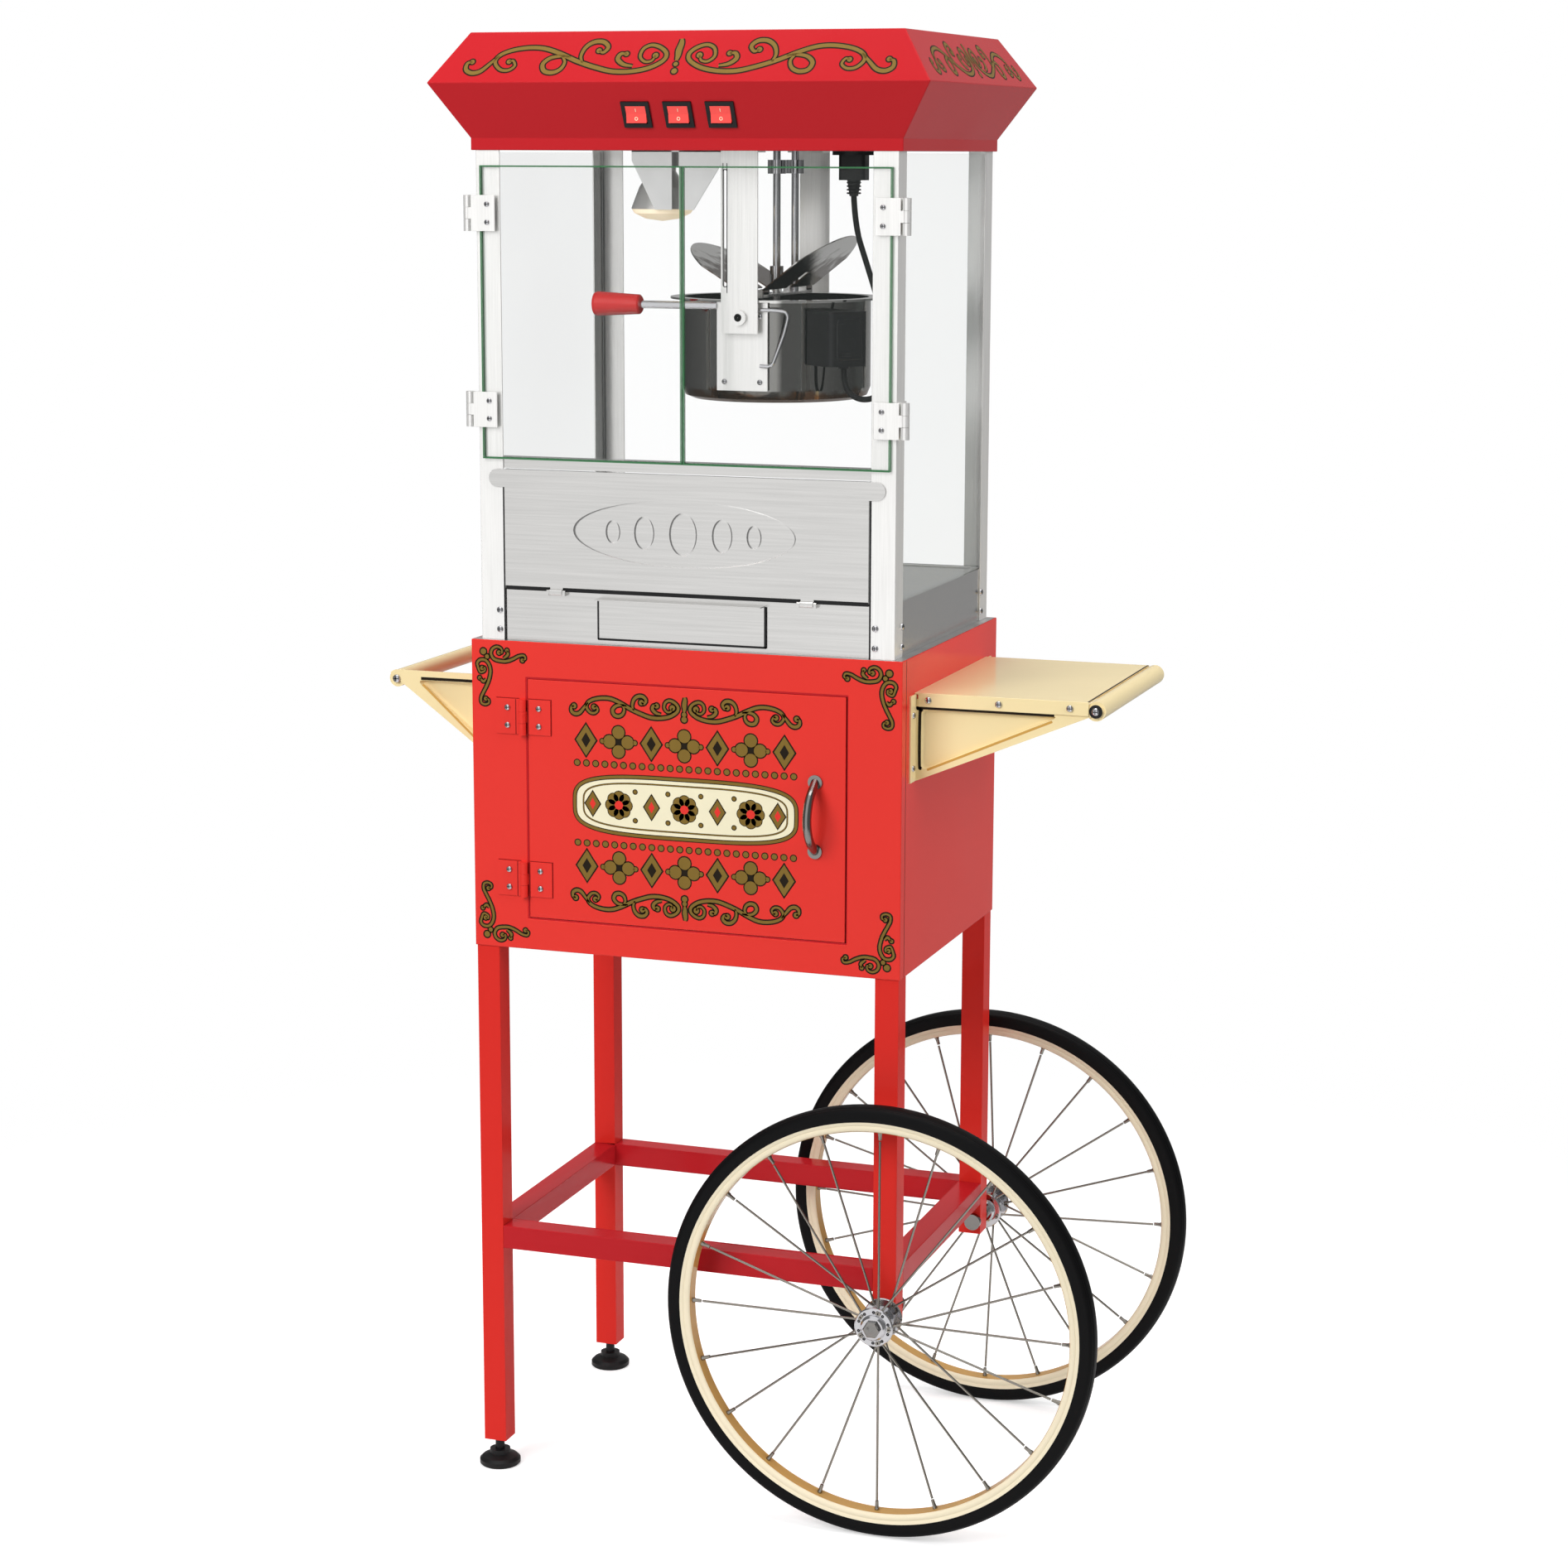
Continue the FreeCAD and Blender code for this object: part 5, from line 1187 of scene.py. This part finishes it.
def dished_web(outline, dish, plane, thick=1.5, slope=3.5, depth=5.0):
    """Pressed plate: rings from the outline to the edge of the dish and down its slope to a flat floor,
    on the front and again one thickness behind it."""
    middle = dish.mean(0)
    way = (dish - middle) / np.linalg.norm(dish - middle, axis=1, keepdims=True)
    rings = [(edge_along(outline, middle, way), 0.0), (dish, 0.0)]
    rings += [(dish - way * k * slope, -drop * depth) for k, drop in ((0.25, 0.3), (0.6, 0.85), (1.0, 1.0))]
    front, back = ([on_panel(flat, plane, height - h) for flat, height in rings] for h in (0.0, thick))
    loops, count = 2 * len(rings), len(dish)
    walls = grid_quads(loops, count, False, True).tolist()
    floors = [list(range(count)), list(range((loops - 1) * count, loops * count))]
    return np.concatenate(front[::-1] + back), walls + floors


def web_outline(wall_x, tip_x, tip_z, tip_r, top_z):
    """Side view of a bracket: top edge, round tip, slanted lower edge and the edge on the box."""
    s = np.sign(wall_x)
    a = np.radians(np.linspace(90, -60, 11))
    tip = np.c_[tip_x + s * tip_r * np.cos(a), tip_z + tip_r * np.sin(a)]
    return np.concatenate([[(wall_x, top_z)], tip, [(wall_x + s * 8, bracket_low), (wall_x, bracket_low)]])


webs = []
for label, s in front_and_back:
    plane, mirror = ((0, s * bracket_y, 0), (-s, 0, 0), (0, 0, 1)), [-s, 1]
    shade_edges, highlight_edges = [], []
    for wall_x, tip, top_z, dish, (x0, x1) in brackets:
        k = np.sign(wall_x)
        outline = web_outline(wall_x, *tip, top_z) * mirror
        webs.append(dished_web(outline, rounded(dish, 10.0, 16) * mirror, plane))
        webs.append(block((wall_x, s * 147.5, bracket_low), (wall_x + k * flange_thick, s * 128.0, top_z)))
        # Painted shade along the upper and inner slope, and a painted highlight along the lower slope.
        upper = [(x1, 852.9), (x0 + k * 8, 852.9), (x0 + k * 2, 850.5), (x0, 845.0), (x0, 796.0),
                 (x0 + k * 1.5, 791.0)]
        lower = [(x0 + k * 8, 789.8), (x1 - k * 2, 846.5)]
        shade_edges.append(line_band(np.array(upper) * mirror, 1.6))
        highlight_edges.append(line_band(np.array(lower) * mirror, 1.2))
    lay("bracket_shade_line_" + label, shade_edges, plane, "cart", dark_line, 0.1)
    lay("bracket_highlight_line_" + label, highlight_edges, plane, "cart", highlight_tan, 0.1)
    plug = lathe(tube_plug, from_mm((420, s * bracket_y, 859)), (0, s, 0), 32)
    make_piece("tube_plug_" + label, [plug], black, "cart")
make_piece("pressed_brackets", webs, cream, "cart", ["side_brackets"], smooth=50.0, bevel=0.0004)
print("bracket parts", len(webs))

# %% [markdown]
# ## Medallion of the flap
# The steel drop-front has a raised oval with five smaller ovals on it. A bump map would do for a
# view from the front, but a pressing has a real slope that catches the light. It is an outline that
# rises over a short slope to a smaller copy of itself.

# %% Medallion
press_height, flap_y, flap_z = 0.8, -168.3, 1021.75


def pressing(outline, plane, slope, height):
    """Raised panel: the outline drawn in towards its middle by 0, 0.4, 1 and 1.6 slopes while it
    rises by 0, 0.5, 0.95 and 1 heights, closed by a flat top."""
    middle = outline.mean(0)
    away = outline - middle
    reach = np.linalg.norm(away, axis=1, keepdims=True)
    loops = []
    for inset, rise in ((0.0, 0.0), (0.4, 0.5), (1.0, 0.95), (1.6, 1.0)):
        loops.append(on_panel(middle + away * (1 - inset * slope / reach), plane, rise * height))
    count = len(outline)
    walls = grid_quads(len(loops), count, False, True)[:, ::-1].tolist()
    return np.concatenate(loops), [*walls, list(range(3 * count, 4 * count))]


def oval(wide, tall, steps, u=0):
    """Ellipse on a panel: u + wide * cos t and tall * sin t."""
    return unit_circle(steps) * [wide, tall] + [u, 0]


medallion = [pressing(oval(120, 34, 60), front_plane(0, flap_y, flap_z), 2.0, press_height)]
raised_front = front_plane(0, flap_y - press_height, flap_z)
for u, wide, tall in ((0, 15, 22), (-42, 11, 17), (42, 11, 17), (-76, 8, 12), (76, 8, 12)):
    medallion.append(pressing(oval(wide, tall, 24, u), raised_front, 1.6, press_height))
make_piece("flap_medallion", medallion, steel_wide, "serving_flap", closed=False, smooth=70.0)
print("ovals", len(medallion))

# %% [markdown]
# ## Edge of the door opening
# The sheet of the box is turned in round the door opening, so the gap beside the door shows a
# narrow strip of red instead of the dark inside. The strip gets the deeper red as painted shade. A
# folded solid would do the same, but the gap is only 2 mm wide. Four thin strips just behind the
# sheet are enough.

# %% Turned edge of the opening
edge_front, edge_back = -171.9, -171.3
strips = [(-173.2, 612.3, -171.4, 868.2), (176.3, 612.3, 177.2, 868.2), (-171.4, 866.4, 176.3, 868.2),
          (-171.4, 612.3, 176.3, 614.1)]
strip_parts = [block((x0, edge_front, z0), (x1, edge_back, z1)) for x0, z0, x1, z1 in strips]
# The deeper red of these strips is painted shade in the gap.
make_piece("opening_edge", strip_parts, deep_red_and_shade, "cart", smooth=20.0)
print("strips", len(strips))

# %% [markdown]
# ## Pot and lids
# The pot is polished steel that heat has browned at its base. Above that its wall is a darker grey
# and its rolled rim a light one. The lids are brown where oil is baked on. An image could carry the
# stains, but it would need unwrapped surfaces. A mask on the height with a ragged border needs only
# the place on the piece.

# %% Pot and lids


def height_mask(tree, low, high, ragged=0.0):
    """0 below one height and 1 above another, with an uneven border."""
    place = object_place(tree)
    level = around(tree, split(tree, place)["Z"], ragged, noise(tree, place, 60.0))
    return ramp(tree, level, low, high)


pot_finish = sheet_steel("pot_steel", "stainless", "DEDDDA", (60.0, 60.0, 900.0), rough=0.05, streak=0.03)
pot = pot_finish.node_tree
pot_low, pot_high = (corner[2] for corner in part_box("kettle_pot"))
above_brown_base = height_mask(pot, pot_low + 0.008, pot_low + 0.013, 0.02)
rolled_rim = height_mask(pot, pot_high - 0.0035, pot_high - 0.0030)
pot_wall = mixed(pot, above_brown_base, srgb("6A4D38"), srgb("8E8D8A"))
shade(pot_finish, {"Base Color": mixed(pot, rolled_rim, pot_wall, srgb("E6E5E2"))})
dress(pot_finish, "kettle_pot")

lid_finish = sheet_steel("lid_steel", "dark_steel", "E4E3E0", (300.0, 300.0, 300.0), rough=0.16, streak=0.2)
lid = lid_finish.node_tree
clean = height_mask(lid, 1.282, 1.296, 0.06)
shade(lid_finish, {"Base Color": mixed(lid, clean, srgb("4A3423"), srgb("E4E3E0"))})
dress(lid_finish, "kettle_lid_left", "kettle_lid_right")
print("pot nodes", len(pot.nodes), "lid nodes", len(lid.nodes))

# %% [markdown]
# ## Plug, heater cover and stud
# The plug has ribs to hold it by, the heater box a cover with a slot, and the stud of the kettle a
# round cap. They could be part of the solids, but they are small moulded and turned details. The
# lathe and the pressing from above make them with a few numbers.

# %% Plug, heater cover and stud
rib = [(0.003, -0.0009), (0.0068, -0.0009), (0.0076, 0.0), (0.0068, 0.0009), (0.003, 0.0009)]
rib_at = from_mm(spread([130], [-20], [1370.5, 1367.0, 1363.5, 1360.0]))
ribs = [lathe(rib, spot, (0, 0, 1), 24) for spot in rib_at]
make_piece("plug_ribs", ribs, black, "cart")

heater_turn, heater_reach = math.radians(-40.0), 143.0
heater_way = np.array([math.cos(heater_turn), math.sin(heater_turn), 0.0])
heater_across = np.array([-heater_way[1], heater_way[0], 0.0])
heater_face = (np.array([40.0, 0.0, 1216.5]) + heater_reach * heater_way, heater_across, (0, 0, 1))
cover_rim = rounded(oblong_corners(-15.0, -21.0, 15.0, 20.0), 5.0)
cover_slot = rounded(oblong_corners(-11.0, -17.0, 3.0, -13.0), 1.8)
cover = [pressing(cover_rim, heater_face, 1.2, 1.2), pressing(cover_slot, heater_face, 0.6, 2.0)]
make_piece("heater_cover", cover, black, "kettle", smooth=30.0, closed=False)

stud_at = np.array([0.04 + middle_x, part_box("kettle_side_plates")[0][1], 1.237])
stud_cap = [(0.0002, 0.0), (0.0040, 0.0), (0.0062, -0.0006), (0.0070, -0.0016), (0.0070, -0.0032),
            (0.0002, -0.0032)]
make_piece("stud_cap", [lathe(stud_cap, stud_at, to_front, 32)], chrome, "kettle")
print("ribs", len(ribs))

# %% [markdown]
# ## Lamp
# A reflector bulb hangs from a bracket of two plates with a slit between them. Its lens glows warm
# and its neck is silvered. A lamp inside the bulb would light the cabinet, but the bulb is hardly
# brighter than the room, so a height mask gives the lens a little light of its own.

# %% Lamp
bulb_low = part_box("lamp_bulb")[0][2]
plate_thick, lamp_top, lamp_low, slit_left, slit_right = 1.2, 1402.0, 1343.0, -39.5, -31.7


def prism(outline, plane, thick):
    """Flat outline in millimetres on a plane, with a second copy behind it by the thickness and walls
    between."""
    count = len(outline)
    front, back = (on_panel(np.array(outline), plane, h) for h in (0.0, -thick))
    walls = grid_quads(2, count, False, True).tolist()
    ends = [list(range(count)), list(range(2 * count - 1, count - 1, -1))]
    return np.concatenate([front, back]), walls + ends


bulb_finish = new_material("bulb_glass", "warm_glass")
bulb = bulb_finish.node_tree
neck = height_mask(bulb, bulb_low + 0.0120, bulb_low + 0.0128)
shade(bulb_finish, {"Base Color": mixed(bulb, neck, srgb("FFF3DE"), srgb("DCDBD9")), "Roughness": 0.16,
                    "Metallic": arithmetic(bulb, "MULTIPLY", neck, 0.6), "Emission Strength": 0.5,
                    "Emission Color": mixed(bulb, neck, srgb("E8D2A8"), srgb("000000"))})
dress(bulb_finish, "lamp_bulb")

lamp_face = front_plane(0, -95.0, 0)
left_plate = [(-83.0, lamp_top), (-83.0, lamp_top - 10), (-58.0, lamp_low), (slit_left, lamp_low),
              (slit_left, lamp_top)]
right_plate = [(slit_right, lamp_top), (slit_right, lamp_low), (-16.0, lamp_low), (16.0, lamp_top - 10),
               (16.0, lamp_top)]
socket = [(0.0002, 0.0), (0.018, 0.0), (0.018, 0.016), (0.0002, 0.016)]
lamp_parts = [prism(plate, lamp_face, plate_thick) for plate in (left_plate, right_plate)]
lamp_parts.append(block((-83, -95, lamp_top - plate_thick), (16, -25, lamp_top)))
lamp_parts.append(lathe(socket, from_mm((-63, -60, 1386)), (0, 0, 1), 48))
make_piece("lamp_plates", lamp_parts, zinc, "cart", ["lamp_bracket"], smooth=30.0)
print("lamp parts", len(lamp_parts))

# %% [markdown]
# ## Switches
# The three rockers are translucent red plastic that glows a little, with a ring and a dash as
# signs. Real light through plastic is slow to render, so a faint emission stands in for it. The
# signs are thin lines on the two slanted faces of a rocker.

# %% Switches
rockers = (("left", -43.2), ("middle", 1.2), ("right", 45.6))
slant_long, rocker_y, rocker_z = 60.6, -180.31, 1437.2
slant_up, slant_out = np.array([0, -27.5, 54]) / slant_long, np.array([0, -54, -27.5]) / slant_long
rocker_low, rocker_middle, rocker_high = (-7.47, 4.60), (0.63, 1.55), (9.27, 1.65)
ring_line = 1.5 * np.c_[np.cos(round_t), np.sin(round_t)]
dash_line = [(0.0, -1.7), (0.0, 0.0), (0.0, 1.7)]
rocker_finish = moulded("rocker_red", "red_plastic", "EE4A44", rough=0.16, grain=400.0, depth=0.02)
shade(rocker_finish, {"Emission Color": srgb("E8352F"), "Emission Strength": 0.18})
dress(rocker_finish, *("switch_rocker_" + label for label, x in rockers))
for label, x in rockers:
    low, middle, high = (np.array([x, rocker_y, rocker_z]) + a * slant_up + b * slant_out
                         for a, b in (rocker_low, rocker_middle, rocker_high))
    for sign, line_of, start, end in (("off", ring_line, low, middle), ("on", dash_line, middle, high)):
        face = ((start + end) / 2, (1, 0, 0), end - start)
        lay("switch_" + sign + "_" + label, [line_band(line_of, 0.3)], face, label + "_rocker", ivory, 0.06)
